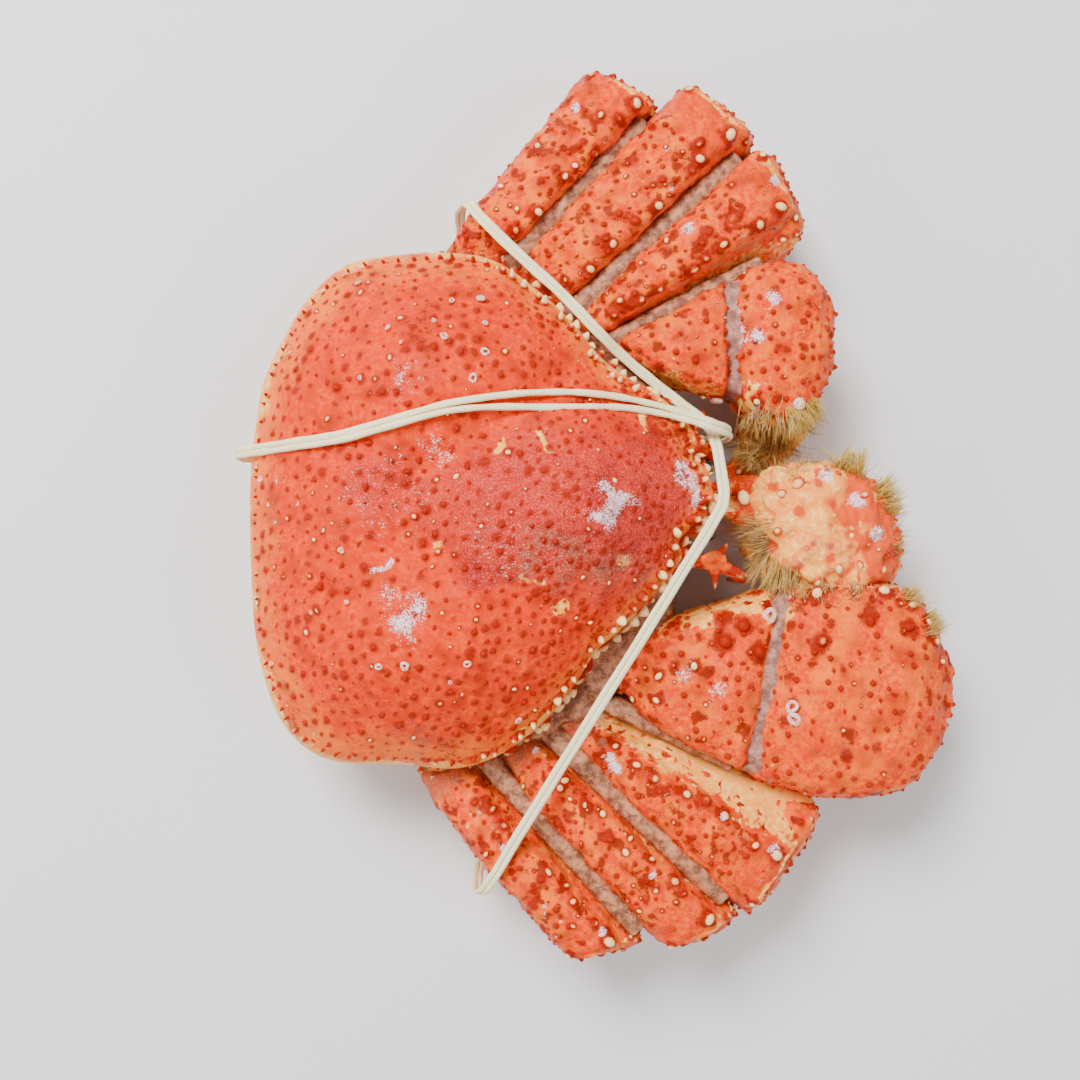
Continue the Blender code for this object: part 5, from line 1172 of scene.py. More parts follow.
def make_merus(leg):
    """The long upper piece of a walking leg: blotched flat back, a crest of ivory knobs with dark
    red feet, a smooth red patch and a cream rim at its knee end, and grey painted shade on its
    front face, rear edge, root and lower sides."""
    crest = CREAM_FROM[leg.name]
    surface = lofted(leg.stations(MERUS_STATIONS), merus_section(crest), 160, 124, ends=(1.6, 1.4))
    surface.lift(0.32 * surface.ripple(8.0, 21) + 0.17 * surface.ripple(2.4, 22)
                 + 0.05 * surface.ripple(1.0, 27))
    along, across = leg.places(surface.grid)
    wander = surface.ripple(5.0, 23)
    top = smooth_step(surface.normals()[..., 2], 0.25, 0.75)
    depth = along_table(along, [(row[0], row[3]) for row in MERUS_STATIONS]) - surface.grid[..., 2]
    face = smooth_step(across + 0.09 * wander + 0.05 * surface.ripple(2.0, 29), crest - 0.10, crest + 0.42)
    rear = smooth_step(-across + 0.05 * wander, 0.74, 0.98)
    rim = smooth_step(along + 0.006 * wander + 0.02 * across ** 2, MERUS_END - 0.020, MERUS_END)
    patch = smooth_step(along + 0.03 * across, MERUS_END - 0.20, MERUS_END - 0.13) * (1 - rim) * (1 - face)
    cream, grey_and_shade = FRONT_FACE[leg.name]
    # shade: 0 near the leg's top and 1 from 9.5 mm below it. It lays grey painted shade into the crease and
    # down the sides, and adds the sides' own paler cream.
    shade = smooth_step(depth, 3.0, 9.5)
    root = smooth_step(0.14 - along, 0.0, 0.12)
    spots = []
    for line, count, radius, tone in ((crest - 0.05, 7, (0.9, 1.8), (0.1, 0.95)),
                                      (crest - 0.40, 6, (0.7, 1.35), (-0.4, 0.9)),
                                      (-0.60, 5, (0.6, 1.15), (-0.5, 0.9))):
        for k in range(count):
            place = 0.12 + (MERUS_END - 0.22) * (k + chance.uniform(0.1, 0.9)) / count
            row, column = surface.top_at(*leg.point(place, line + chance.uniform(-0.12, 0.10)))
            size = chance.uniform(*radius)
            spots.append((row, column, size, size * chance.uniform(0.45, 0.75), chance.uniform(*tone)))
    for place, line, size in ((MERUS_END - 0.05, crest - 0.05, 1.9), (MERUS_END - 0.01, -0.75, 1.2)):
        spots.append((*surface.top_at(*leg.point(place, line)), size, size * 0.7, 0.75))
    feet = [(max(row - 2, 0), column, 1.55 * size) for row, column, size, _, _ in spots if size > 1.0]
    back = top * (across < crest) * (along < MERUS_END - 0.03) * (along > 0.06)
    feet += random_spots(surface, back * (patch < 0.5), 3.0, 300, (0.5, 1.9), (0.0, 1.0))
    flecks = 0.50 * smooth_step(surface.ripple(2.0, 28), 0.5, 1.6) * top * (1 - patch)
    flecked = face * (1 - 0.9 * shade) * cream ** 2 + 0.0005
    feet += random_spots(surface, flecked, 1.7, 260, (0.35, 0.85), (0.0, 1.0))
    # Painted shade: the grey of the front face, the grey from depth, the grey along the rear edge and the
    # grey at the root under the shell's edge all stand for shade; lit fades the face's cream and grey
    # deeper down.
    lit = 1 - 0.5 * shade
    surface.paint(
        cream=np.maximum(0.92 * cream * face * lit, 0.62 * rim * top) + flecks + 0.34 * shade,
        grey=np.maximum(np.maximum(grey_and_shade * face * lit, 0.42 * shade), 0.7 * root)
        + 0.45 * rear + blob_field(surface.grid, LEG_DARK) * top,
        red=0.16 + 0.12 * wander * top + 0.16 * patch,
        peach=0.42 + 0.35 * wander - 0.45 * patch + 0.5 * rim,
        rose=0.35 * rear + 0.3 * smooth_step(surface.ripple(9.0, 26), 0.4, 1.4),
        frost=0.75 * smooth_step(surface.ripple(5.0, 24), 1.35, 2.1) * top
        + blob_field(surface.grid, LEG_FROST) * top)
    red_blotches(surface, feet)
    spots += random_spots(surface, back * (patch < 0.3), 2.3, 420, (0.34, 0.75), (-1.2, 0.5))
    studded_piece(leg.name + "_upper", surface, spots, 1.9, LIMB, "shell", leg.name + "_merus")


def make_knee(leg):
    """The knee: a squared block that carries the leg's back on over the bend, rounds off at its
    outer end and stands on the floor, with a cream rim, a patch of bare grey skin and short cones."""
    inner = KNEE + 0.3 / leg.length
    crest = CREAM_FROM[leg.name]
    stations = leg.stations(KNEE_STATIONS, inner, 1.0 - inner)
    surface = lofted(stations, KNEE_SECTION, 96, 112, ends=(0.8, 2.4))
    lift = 0.34 * surface.ripple(6.0, 31) + 0.14 * surface.ripple(2.0, 32)
    surface.lift(lift * smooth_step(surface.grid[..., 2], 0.5, 4.0))
    along, across = leg.places(surface.grid)
    wander = surface.ripple(4.0, 33)
    top = smooth_step(surface.normals()[..., 2], 0.2, 0.7)
    low = smooth_step(22.0 - surface.grid[..., 2], 0.0, 14.0)
    part = (along - inner) / (1.0 - inner)
    ridge = np.exp(-((part - 0.98 + 0.06 * wander - 0.12 * across) / 0.09) ** 2)
    bare = np.exp(-((part - 0.80) / 0.16) ** 2 - ((across - crest + 0.25) / 0.40) ** 2)
    studded = smooth_step(part, 0.45, 0.8) * smooth_step(surface.grid[..., 2], 3.0, 9.0) + 0.03
    spots = random_spots(surface, studded, 2.6, 300, (0.5, 1.15), (-0.4, 1.0))
    blotches = random_spots(surface, smooth_step(part, 0.3, 0.7) + 0.15, 4.0, 120, (0.9, 1.9), (0.0, 1.0))
    # The grey at both side edges is painted shade between neighbouring knees; the grey of the bare patch is
    # the skin's own.
    surface.paint(cream=0.85 * top * ridge + 0.42 * low + 0.10 * wander,
                  grey=0.95 * bare * top + 0.4 * smooth_step(abs(across), 0.9, 1.0),
                  rose=0.5 * bare + 0.2 * top, red=0.22 + 0.15 * wander, peach=0.55 + 0.2 * wander,
                  frost=0.9 * top * smooth_step(surface.ripple(4.0, 34), 1.0, 1.9))
    red_blotches(surface, blotches)
    studded_piece(leg.name + "_knee", surface, spots, 1.5, LIMB, "shell", leg.name + "_carpus")


def make_lower_leg(leg):
    """The folded lower leg under the upper piece: a rounded shaft and a curved pointed claw."""
    shaft = lofted(leg.stations(PROPODUS_STATIONS), rounded_box(), 70, 56, ends=(0.0, 0.8))
    shaft.lift(0.15 * shaft.ripple(5.0, 41))
    shaft.paint(cream=0.72, grey=0.18, red=0.3 + 0.2 * shaft.ripple(6.0, 42))
    spots = random_spots(shaft, 1.0, 4.0, 200, (0.5, 0.9), (0.0, 0.9))
    studded_piece(leg.name + "_lower", shaft, spots, 1.4, PALE, "pale_shell", leg.name + "_propodus",
                  mounds=False)
    first, last = 0.10 - 0.3 / leg.length, DACTYL_REACH[leg.number]
    stations = []
    for part, half, low, high in DACTYL_STATIONS:
        along = first + (last - first) * part
        over = leg.point(along, 1.0) - leg.point(along, -1.0)
        over = over / np.linalg.norm(over) * half
        middle = leg.point(along, 0.0)
        stations.append((middle - over, middle + over, low, high))
    tip = leg.point(last, 0.0)
    stations.append((tip - over * 0.25, tip + over * 0.25, 3.6, 4.9))
    claw = lofted(stations, rounded_box(0.85), 60, 40, ends=(0.5, 0.8))
    claw.paint(cream=0.7 * smooth_step(claw.grid[..., 2], 9.0, 4.0), red=0.45)
    make_piece(leg.name + "_tip", claw.geometry(), LIMB, "shell", leg.name + "_dactyl")


def make_hip(name, root, station):
    """The short hip piece: two overlapping swollen rings of pale shell, from the body's side out
    to the limb's first section."""
    inner, outer, low, high = station
    inner, outer, start = np.array(inner), np.array(outer), np.array(root)
    along, over = (inner + outer) / 2 - start, (outer - inner) / 2
    rows = []
    for share, widen, drop in ((0.0, 1.25, 0.0), (0.25, 1.34, 0.6), (0.5, 1.22, -0.4),
                               (0.78, 1.16, 0.2), (1.02, 0.96, 0.0)):
        at, wide = start + along * share, over * widen * (0.85 + 0.15 * share)
        rows.append((at - wide, at + wide, low - 2.0 + drop, high - 1.5 + drop))
    hip = lofted(rows, rounded_box(), 70, 64)
    hip.lift(0.35 * hip.ripple(6.0, 51) + 0.15 * hip.ripple(2.0, 52))
    wander = hip.ripple(5.0, 53)
    hip.paint(cream=0.45 + 0.25 * wander, grey=0.45 + 0.3 * wander, rose=0.4, red=0.15 + 0.2 * wander)
    spots = random_spots(hip, 1.0, 3.6, 220, (0.5, 0.9), (-0.2, 0.7))
    studded_piece(name + "_hip", hip, spots, 1.7, PALE, "pale_shell", name + "_coxa", mounds=False)


def claw_spots(surface, spots):
    """Spots given as (x, y, radius, tone) on the top of a surface."""
    return [(*surface.top_at(x, y), radius, radius * 0.85, tone) for x, y, radius, tone in spots]


def make_claw_arm(side):
    """The two broad upper pieces of a claw leg, blotched dark red, with the groove of grey skin
    between them. Gives both back."""
    base = [list(row) for row in CLAW_MERUS[side]]
    base[-1][:2] = [(x - 0.9, y) for x, y in base[-1][:2]]
    merus = lofted(base, rounded_box(0.58), 156, 136, ends=(1.5, 0.7))
    carpus = lofted(CLAW_CARPUS[side], rounded_box(0.58), 156, 150, ends=(0.5, 2.0))
    for surface, label, node, count in ((merus, "upper", "merus", 110), (carpus, "wrist", "carpus", 170)):
        surface.lift(0.42 * surface.ripple(10.0, 61) + 0.15 * surface.ripple(2.6, 62)
                     + 0.05 * surface.ripple(1.0, 65))
        normals = surface.normals()
        wander = surface.ripple(6.0, 63)
        top = smooth_step(normals[..., 2], -0.1, 0.5)
        inner = smooth_step(normals[..., 1] * (-1 if side == "left" else 1), 0.20, 0.7)
        place = surface.shares()
        ends = smooth_step(0.07 - place, 0.0, 0.06) + smooth_step(place, 0.94, 0.99)
        spots = claw_spots(surface, CLAW_MARKS[side][label])
        feet = [(row, column, 1.5 * size) for row, column, size, _, _ in spots]
        feet += random_spots(surface, top + 0.05, 4.6, count, (0.9, 2.1), (0.0, 1.0))
        flecks = 0.38 * smooth_step(surface.ripple(2.8, 67), 0.8, 1.8)
        # The grey that rises below z 33 is painted shade on the lower sides; the grey at both ends is the
        # dark joint.
        surface.paint(cream=0.45 * (1 - top) + 0.40 * inner + 0.08 * wander + flecks * top
                      + blob_field(surface.grid, CLAW_CREAM) * top,
                      grey=0.40 * smooth_step(33.0 - surface.grid[..., 2], 0.0, 10.0) + 0.35 * ends,
                      rose=0.14 + 0.22 * wander, red=0.16 + 0.14 * wander,
                      peach=0.36 + 0.25 * surface.ripple(8.0, 66),
                      frost=blob_field(surface.grid, CLAW_FROST) * top)
        red_blotches(surface, feet, 0.3)
        spots += random_spots(surface, top, 2.5, 700, (0.36, 0.85), (-1.4, 0.6))
        studded_piece(f"claw_{side}_{label}", surface, spots, 1.9, LIMB, "shell", f"claw_{side}_{node}")
    inner, outer = CLAW_MERUS[side][-1][:2]
    after = CLAW_CARPUS[side][1][:2]
    middle = [(np.array(a) + np.array(b)) / 2 for a, b in zip((inner, outer), after)]
    rows = [((inner[0] - 1.6, inner[1]), (outer[0] - 1.6, outer[1]), 15.0, 37.2),
            (*middle, 15.0, 37.6), (*after, 15.0, 37.0)]
    groove = lofted(rows, rounded_box(0.5), 40, 120, ends=(0.3, 0.3))
    groove.lift(0.12 * groove.ripple(3.0, 64))
    make_piece(f"claw_{side}_elbow_skin", groove.geometry(), ELBOW_SKIN, "pale_shell")
    return merus, carpus


def make_hand(side):
    """The hand, and before it the movable finger and the fixed one, which is called thumb."""
    palm = lofted(PALM[side], rounded_box(0.64), 150, 132, ends=(2.0, 1.2))
    right = float(side == "right")
    lumps = 1.0 if right else 0.35
    palm.lift(lumps * (0.95 * palm.ripple(9.0, 71) + 0.60 * palm.ripple(4.2, 76))
              + 0.20 * palm.ripple(1.8, 72))
    wander = palm.ripple(6.0, 73)
    top = smooth_step(palm.normals()[..., 2], -0.1, 0.5)
    back = smooth_step(0.56 - palm.shares(), 0.0, 0.36)
    outer = smooth_step(palm.grid[..., 0] - 0.4 * palm.grid[..., 1], 137.0, 149.0) * right
    mottled = outer * smooth_step(palm.ripple(2.8, 77), 0.1, 1.0)
    dots = blob_field(palm.grid, PALM_DOTS)
    # On the right hand, the grey that rises below z 26 is painted shade on its lower side; the grey of the
    # dots is their own.
    palm.paint(cream=0.62 + (0.25 * wander - 0.42) * back * right + 0.16 * wander
               - 0.75 * blob_field(palm.grid, PALM_DOTS + PALM_RED) - 0.55 * mottled,
               grey=0.6 * smooth_step(26.0 - palm.grid[..., 2], 0.0, 10.0) * right + 0.55 * dots,
               rose=0.10 + 0.3 * back + 0.9 * dots,
               red=0.10 + 0.34 * back + 0.2 * wander * back
               + 1.5 * blob_field(palm.grid, PALM_RED) + 0.75 * mottled,
               peach=0.4 + 0.2 * wander, frost=blob_field(palm.grid, CLAW_FROST) * top)
    spots = claw_spots(palm, PALM_MARKS[side])
    spots += random_spots(palm, back + 0.08, 3.0, 130, (0.5, 1.0), (0.0, 1.0))
    knobs = stud_group(palm, spots)
    palm.paint(granule=0.45 * palm.fields["granule"])
    make_piece(f"claw_{side}_hand", joined([palm.geometry(), knobs]), PALE, "pale_shell",
               f"claw_{side}_palm")
    for label, nodes in (("finger", (f"claw_{side}_finger",)), ("thumb", ())):
        path, sizes = FINGERS[f"{label}_{side}"]
        finger = tube(path, sizes, 90, 64, ends=(1.5, 1.0))
        tip = finger.shares()
        teeth = 0.5 * smooth_step(np.sin(tip * 44.0), 0.1, 1.0)
        facing = finger.normals()[..., 2] * (-1 if label == "finger" else 1)
        finger.lift(0.18 * finger.ripple(3.0, 74) + teeth * smooth_step(facing, 0.6, 0.95))
        finger.paint(cream=0.34 + 0.5 * smooth_step(tip, 0.50, 0.80),
                     red=0.30 * (1 - tip) + 0.15 * finger.ripple(4.0, 75))
        spots = claw_spots(finger, FINGER_KNOBS[side])
        studded_piece(f"claw_{side}_{label}", finger, spots, 2.2, LIMB, "pale_shell", *nodes)
    return palm


def make_body():
    """The underside: the chest with its ridges between the hips, and the folded tail flap of
    overlapping plates."""
    half = curve_through(THORAX_OUTLINE, 90)
    ring = np.concatenate([half, (half * (1, -1))[-2:0:-1]])
    middle = np.array(THORAX_CENTRE)
    rows = []
    for height, scale in ((34.0, 1.06), (31.0, 1.12), (27.0, 1.12), (22.0, 1.06), (17.0, 0.98),
                          (12.0, 0.92), (8.8, 0.84), (8.0, 0.74)):
        plan = middle + (ring - middle) * scale
        top = np.minimum(height, 28.5 + 0.05 * plan[:, 0])
        rows.append(np.column_stack([plan, top]))
    body = domed(curve_through(np.array(rows), 90), (0.0, 0.0))
    angles = np.arctan2(body.grid[..., 1], body.grid[..., 0] - middle[0])
    sides = smooth_step(abs(body.grid[..., 1]), 10.0, 26.0)
    body.lift(0.9 * sides * np.cos(angles * 14) * smooth_step(body.grid[..., 2], 8.5, 14.0)
              + 0.3 * body.ripple(6.0, 81))
    wander = body.ripple(6.0, 82)
    body.paint(cream=0.7 + 0.2 * wander, grey=0.35 + 0.3 * wander, rose=0.35)
    make_piece("chest", body.geometry(), PALE, "pale_shell", "thorax")

    stations = [((x, -wide), (x, wide), low, high) for x, wide, low, high in PLEON_STATIONS]
    flap = lofted(stations, PLEON_SECTION, 150, 96, ends=(0.6, 0.4))
    step = (flap.grid[..., 0] / 7.5 + 0.4 * np.cos(flap.grid[..., 1] / 9.0)) % 1.0
    low_side = smooth_step(flap.grid[..., 2], 0.4, 1.6)
    flap.lift(low_side * (0.45 * step + 0.2 * flap.ripple(4.0, 83)))
    flap.paint(cream=0.7 + 0.15 * flap.ripple(5.0, 84), grey=0.5 * (step < 0.12),
               red=0.3 + 0.2 * flap.ripple(8.0, 85))
    spots = random_spots(flap, low_side + 0.01, 3.2, 300, (0.6, 1.0), (0.0, 1.0))
    spots = [spot for spot in spots if flap.grid[spot[0], spot[1], 2] > 1.6]
    studded_piece("tail_flap", flap, spots, 1.7, PALE, "pale_shell", "pleon", mounds=False)


def make_flank(side):
    """The bare skin between the shell's margin and the roots of the limbs, wrinkled across; its dark brown
    is partly painted shade of that deep pocket.
    """
    stations = [(inner, outer, 16.0, high) for inner, outer, high in FLANKS[side]]
    flank = lofted(stations, rounded_box(0.6), 150, 72, ends=(2.0, 2.0))
    flank.lift(0.5 * flank.ripple(7.0, 86) + 0.2 * flank.ripple(2.6, 87))
    make_piece("flank_skin_" + side, flank.geometry(), SKIN, "pale_shell")


def make_seams(side):
    """Dark brown strips in the creases between neighbouring limbs, partly skin and partly painted shade in
    the creases.
    """
    parts = []
    for near, far, half, high, reach in SEAMS[side]:
        near, along = np.array(near), np.array(far) - np.array(near)
        over = unit(along[::-1] * (1.0, -1.0)) * half
        stations = [(near + along * t - over, near + along * t + over, 20.0, high + rise)
                    for t, rise in ((-0.04, -5.0), (0.10, -2.4), (0.32, -0.6), (0.65, 0.0), (reach, 0.0))]
        strip = lofted(stations, rounded_box(0.6), 130, 48)
        strip.lift(0.12 * strip.ripple(5.0, 88) + 0.07 * strip.ripple(1.6, 89))
        parts.append(strip.geometry())
    make_piece("seam_skin_" + side, joined(parts), SKIN, "pale_shell")


def make_band(label, wide, tall):
    """One elastic band: two strands follow the route side by side, each a flat oval with seven
    fine ridges along it that swells and thins a little. Outwards is the normal of an ellipsoid
    round the body, square to the route."""
    route = [(x, y, shell_z(x, y) + BAND_LIFT if z is None else z) for x, y, z in BAND_ROUTES[label]]
    path = curve_through(route, 900, closed=True)
    path[:, 2] = np.maximum(path[:, 2], tall + 0.15)
    forward = unit(np.roll(path, -1, axis=0) - np.roll(path, 1, axis=0))
    middle, reach = np.array((60.0, 0.0, 20.0)), np.array((60.0, 60.0, 20.0))
    out = unit((path - middle) / reach ** 2)
    side = unit(np.cross(forward, out))
    out = np.cross(side, forward)
    place = np.arange(len(path)) / len(path)
    gap = BAND_SPREAD[label] * np.exp(-((path[:, 0] - 72.0) / 16.0) ** 2) * (path[:, 2] > 24)
    angles = np.linspace(0, 2 * np.pi, 28, endpoint=False)
    ridge = 1 + 0.05 * np.cos(angles * 7)
    across, up = (np.cos(angles) * ridge * wide)[:, None], (np.sin(angles) * ridge * tall)[:, None]
    parts = []
    for strand, way in ((0, -1), (1, 1)):
        centre = path + side * (wide * 0.97 * way + gap * way)[:, None]
        share = outline.share_at(centre[:, 0], centre[:, 1])
        shell = shell_height(centre[:, 0], centre[:, 1], share) + tall + 0.15
        over = (share < 0.98) & (centre[:, 2] > 24.0)
        centre[:, 2] = np.where(over, np.maximum(centre[:, 2], shell), centre[:, 2])
        turn = np.pi * strand + 0.9 * np.sin(2 * np.pi * place * 9 + strand)
        swell = 1 + 0.07 * np.sin(turn * 3) + 0.05 * np.sin(2 * np.pi * place * 37 + strand * 2)
        ring = centre[:, None] + side[:, None] * across * swell[:, None, None] + out[:, None] * up
        ring[..., 2] = np.maximum(ring[..., 2], 0.05)
        # The value that darkens the band is 1 in the grooves between the ridges: painted shade.
        parts.append(closed_loop(ring, thread=np.clip(-np.cos(angles * 7), 0, 1)))
    make_piece("band_" + label + "_cord", joined(parts), BAND, "band", "band_" + label)


def make_head():
    """Eyes on their stalks, feelers, star-shaped spined scales and the jaw legs."""
    for side, sign in (("left", 1.0), ("right", -1.0)):
        flip = np.array((1.0, sign, 1.0))
        stalk = tube(np.array(EYE_PATH) * flip, EYE_SIZES, 60, 40, ends=(0.5, 1.6))
        stalk.paint(rose=0.8, grey=0.4, cream=0.3 + 0.3 * stalk.ripple(2.0, 91))
        make_piece(f"eye_stalk_{side}", stalk.geometry(), PALE, "pale_shell", f"eye_{side}")
        cap = np.array(EYE_PATH[-1]) * flip
        ahead = unit(cap - np.array(EYE_PATH[-2]) * flip)
        eye = tube([cap - ahead * 0.9, cap + ahead * 0.6], ((1.6, 1.5), (1.9, 1.8)), 16, 40,
                   ends=(0.6, 1.5))
        make_piece(f"eye_cornea_{side}", eye.geometry(), EYE, "eye")
        feeler = tube(ANTENNA_PATHS[side], ANTENNA_SIZES, 150, 24, ends=(0.5, 0.5))
        place = np.arange(len(feeler.grid))[:, None]
        feeler.lift(np.broadcast_to(0.10 * np.sin(place * 0.9), feeler.grid.shape[:2]))
        feeler.paint(red=0.4, cream=0.3 * (np.sin(place * 0.45) > 0.4))
        make_piece(f"feeler_{side}", feeler.geometry(), LIMB, "shell", f"antenna_{side}")
        small = tube(np.array(ANTENNULE_PATH) * flip, ANTENNULE_SIZES, 70, 20, ends=(0.3, 0.3))
        small.paint(cream=0.5)
        make_piece(f"small_feeler_{side}", small.geometry(), LIMB, "shell", f"antennule_{side}")
        (x, y, z), tips = ACICLES[side]
        plate = tube([(x - 2.6, y, z), (x, y, z), (x + 2.4, y, z)], ((1.5, 0.9), (2.4, 1.3), (1.4, 0.8)),
                     30, 32, ends=(0.5, 0.5))
        plate.paint(peach=0.6)
        spines = spines_between(np.repeat([(x, y, z)], len(tips), axis=0), np.array(tips), 1.35, 1.3,
                                0.30, sink=0.2)
        make_piece(f"spined_scale_{side}", joined([plate.geometry(), spines]), LIMB, "shell",
                   f"acicle_{side}")
        jaw = tube(np.array(MAXILLIPED_PATH) * flip, MAXILLIPED_SIZES, 80, 48, up=(1.0, 0.0, 0.0),
                   ends=(1.2, 1.0))
        joint = np.exp(-((jaw.shares() * 3.2) % 1.0 - 0.5) ** 2 / 0.01)
        jaw.lift(-0.5 * joint + 0.15 * jaw.ripple(3.0, 92))
        jaw.paint(cream=0.6 + 0.2 * jaw.ripple(4.0, 93), red=0.25)
        make_piece(f"jaw_leg_{side}", jaw.geometry(), PALE, "pale_shell", f"maxilliped_{side}")


def chalky_rings(places):
    """Small chalky tubes, each (point, normal, radius): a ring in the plane square to the shell,
    its radius bent in and out two and three times on the way round."""
    parts = []
    turn, round_it = (np.linspace(0, 2 * np.pi, count, endpoint=False) for count in (22, 8))
    for centre, normal, wide in places:
        normal = unit(unit(np.asarray(normal, float)) + chance.normal(0, 0.22, 3))
        side = unit(np.cross(normal, (0.0, 1.0, 0.0)))
        thick = wide * chance.uniform(0.44, 0.56)
        lobe = wide * (0.09 * np.sin(turn * 2 + chance.uniform(0, 6))
                       + 0.06 * np.sin(turn * 3 + chance.uniform(0, 6)))
        reach = (wide + thick * np.cos(round_it)[None] + lobe[:, None])[..., None]
        spoke = side * np.cos(turn)[:, None] + np.cross(normal, side) * np.sin(turn)[:, None]
        ring = (np.asarray(centre) + spoke[:, None] * reach
                + normal * (0.30 + thick * np.sin(round_it))[None, :, None])
        parts.append(closed_loop(ring, cream=0.45, frost=0.62))
    make_piece("chalky_rings", joined(parts), PALE, "pale_shell")


def shell_z(x, y):
    """The back shell's height over one plan point."""
    return float(shell_height(np.array(x), np.array(y), outline.share_at(x, y)))


def shell_place(x, y):
    """Point and normal of the back shell over a plan point, from the heights half a millimetre
    to either side."""
    near = np.array([(x + 0.5, y), (x - 0.5, y), (x, y + 0.5), (x, y - 0.5)])
    heights = shell_height(near[:, 0], near[:, 1], outline.share_at(near[:, 0], near[:, 1]))
    return (x, y, shell_z(x, y)), (heights[1] - heights[0], heights[3] - heights[2], 1.0)


def bristles(name, surface, weight, count, lean, length, olive, droop=0.15, width=0.17):
    """Bristles rooted on a surface where the weight says. Each runs from its root along a lean
    direction, bends by the droop times the square of the share out, and narrows to a point.
    In the map OFBake each is a small patch at its root's place on the surface's own grid."""
    rows, columns = surface.grid.shape[:2]
    picked = chance.choice(rows * columns, size=count, p=weight.ravel() / weight.sum())
    roots = surface.grid.reshape(-1, 3)[picked] + chance.normal(0, 0.25, (count, 3))
    normals = surface.normals().reshape(-1, 3)[picked]
    clump = np.stack([ripple(roots, 2.6, 101 + k) for k in range(3)], axis=1)
    aim = unit(normals * 0.45 + np.array(lean) + 0.26 * clump + chance.normal(0, 0.12, (count, 3)))
    long = length * chance.uniform(0.55, 1.15, count)
    fall = np.array((0.0, 0.0, -1.0)) * droop + 0.25 * clump
    side = unit(np.cross(aim, chance.normal(0, 1, (count, 3))))
    other = np.cross(aim, side)
    shares = np.array((-0.12, 0.35, 0.7))
    widths = width * np.array((1.0, 0.8, 0.5)) * chance.uniform(0.7, 1.3, (count, 1))
    angles = 2 * np.pi * np.arange(3) / 3
    spokes = side[:, None] * np.cos(angles)[:, None] + other[:, None] * np.sin(angles)[:, None]
    middle = (roots[:, None] + aim[:, None] * (long[:, None] * shares)[..., None]
              + fall[:, None] * (long[:, None] * shares * abs(shares))[..., None])
    rings = middle[:, :, None] + spokes[:, None] * (widths[..., None, None] / 2)
    tips = roots + aim * long[:, None] + fall * long[:, None]
    points = np.concatenate([rings.reshape(count, 9, 3), tips[:, None]], axis=1).reshape(-1, 3)
    points[:, 2] = np.maximum(points[:, 2], 0.3)
    fans = np.array([(6, 7, 9), (7, 8, 9), (8, 6, 9), (2, 1, 0)])
    offsets = (np.arange(count) * 10)[:, None, None]
    faces = (grid_quads(3, 3) + offsets).reshape(-1, 4).tolist() + (fans + offsets).reshape(-1, 3).tolist()
    out = np.tile(np.concatenate([np.repeat((0.0, 0.4, 0.75), 3), [1.0]]), count)
    tone = np.repeat(np.clip(olive + ripple(roots, 5.0, 110) * 0.4, 0, 1), 10)
    piece = make_piece(name, (points, faces, {"out": out, "tone": tone}), BRISTLE, "pale_shell")
    home = np.column_stack([(picked % columns) / columns, (picked // columns) / rows]) * 0.96 + 0.02
    across = np.tile(np.concatenate([np.tile((-1.0, 0.0, 1.0), 3), [0.0]]), count) * 0.0015
    along = (out - 0.5) * 0.003
    places = np.repeat(home, 10, axis=0) + np.column_stack([across, along])
    corners = np.zeros(len(piece.data.loops), int)
    piece.data.loops.foreach_get("vertex_index", corners)
    layer = piece.data.uv_layers.new(name="OFBake")
    layer.data.foreach_set("uv", places[corners].ravel())


def make_stage():
    """A plain pale floor under a pale sky, and three soft lamps."""
    bpy.ops.mesh.primitive_plane_add(size=4.0, location=(0.0, 0.0, 0.0))
    floor = bpy.context.object
    floor.name = "floor"
    material, maker = new_material("pale_floor")
    colour = maker.mix(maker.noise(maker.place(), 6.0, 3.0, 0.5), FLOOR_GREY, FLOOR_PALE)
    maker.finish(colour, Roughness=0.85)
    floor.data.materials.append(material)
    world = bpy.data.worlds.new("studio")
    world.use_nodes = True
    world.node_tree.nodes["Background"].inputs["Color"].default_value = (*SKY, 1.0)
    world.node_tree.nodes["Background"].inputs["Strength"].default_value = SKY_STRENGTH
    bpy.context.scene.world = world
    for label, (place, size, power) in LAMPS.items():
        lamp = bpy.data.lights.new(label, "AREA")
        lamp.size, lamp.energy = size, power
        holder = bpy.data.objects.new(label, lamp)
        holder.location = place
        holder.rotation_euler = aim_at(np.array(LAMP_TARGET) - np.array(place))
        bpy.context.scene.collection.objects.link(holder)


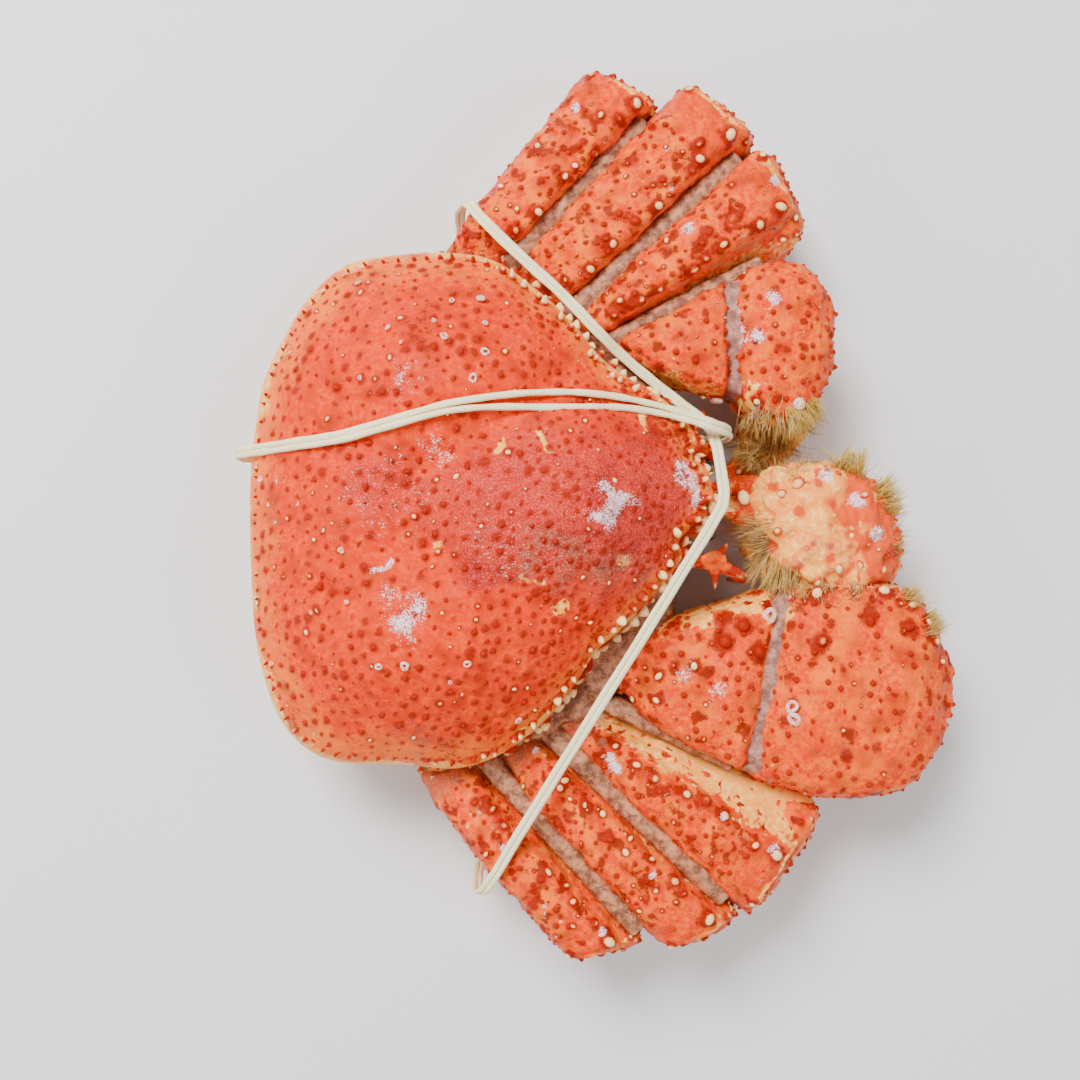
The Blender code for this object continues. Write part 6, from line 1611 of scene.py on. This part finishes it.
def aim_at(direction):
    """Euler angles that turn a lamp's own -z to the direction."""
    x, y, z = unit(np.asarray(direction, float))
    return (math.acos(-z), 0.0, math.atan2(y, x) - math.pi / 2)


def make_camera():
    """Straight above the crab, as the photograph was taken."""
    lens = bpy.data.cameras.new("photo_view")
    lens.lens = CAMERA_LENS
    lens.sensor_width = CAMERA_FILM
    camera = bpy.data.objects.new("photo_view", lens)
    camera.location = in_metres(CAMERA_PLACE)
    camera.rotation_euler = (0.0, 0.0, math.radians(CAMERA_TURN))
    bpy.context.scene.collection.objects.link(camera)
    bpy.context.scene.camera = camera


make_camera()
make_stage()
make_carapace()
for leg_name in LEGS:
    leg = Leg(leg_name)
    make_merus(leg)
    make_knee(leg)
    make_lower_leg(leg)
    hip_x, hip_y = HIP_ROOTS[leg.number]
    root = (hip_x, hip_y if leg_name.endswith("left") else -hip_y)
    make_hip(leg_name, root, (*leg.edges(0.02, 0.85), 16.0, 29.0))
rings = [(*shell_place(x, y), chance.uniform(0.30, 0.72)) for x, y in WORM_RINGS]
arms, hands = {}, {}
for side_name, side_sign in (("left", 1.0), ("right", -1.0)):
    arms[side_name] = make_claw_arm(side_name)
    hands[side_name] = make_hand(side_name)
    hip_x, hip_y = HIP_ROOTS["claw"]
    make_hip("claw_" + side_name, (hip_x, hip_y * side_sign), CLAW_MERUS[side_name][0])
    for x, y, part, wide in CLAW_RINGS[side_name]:
        surface = arms[side_name][part]
        row, column = surface.top_at(x, y)
        rings.append((surface.grid[row, column], surface.normals()[row, column], wide))
chalky_rings(rings)
make_body()
for side_name in ("left", "right"):
    make_flank(side_name)
    make_seams(side_name)
make_head()
make_band("lengthwise", 0.70, 0.6)
make_band("crosswise", 0.66, 0.5)

for name, part, side_name, places, low, lean, length, count, olive in TUFTS:
    surface = hands[side_name] if part == "hand" else arms[side_name][1]
    weight = blob_field(surface.grid, places) * smooth_step(surface.grid[..., 2], low, low + 3.0)
    bristles("bristles_" + name, surface, weight, count, lean, length, olive)
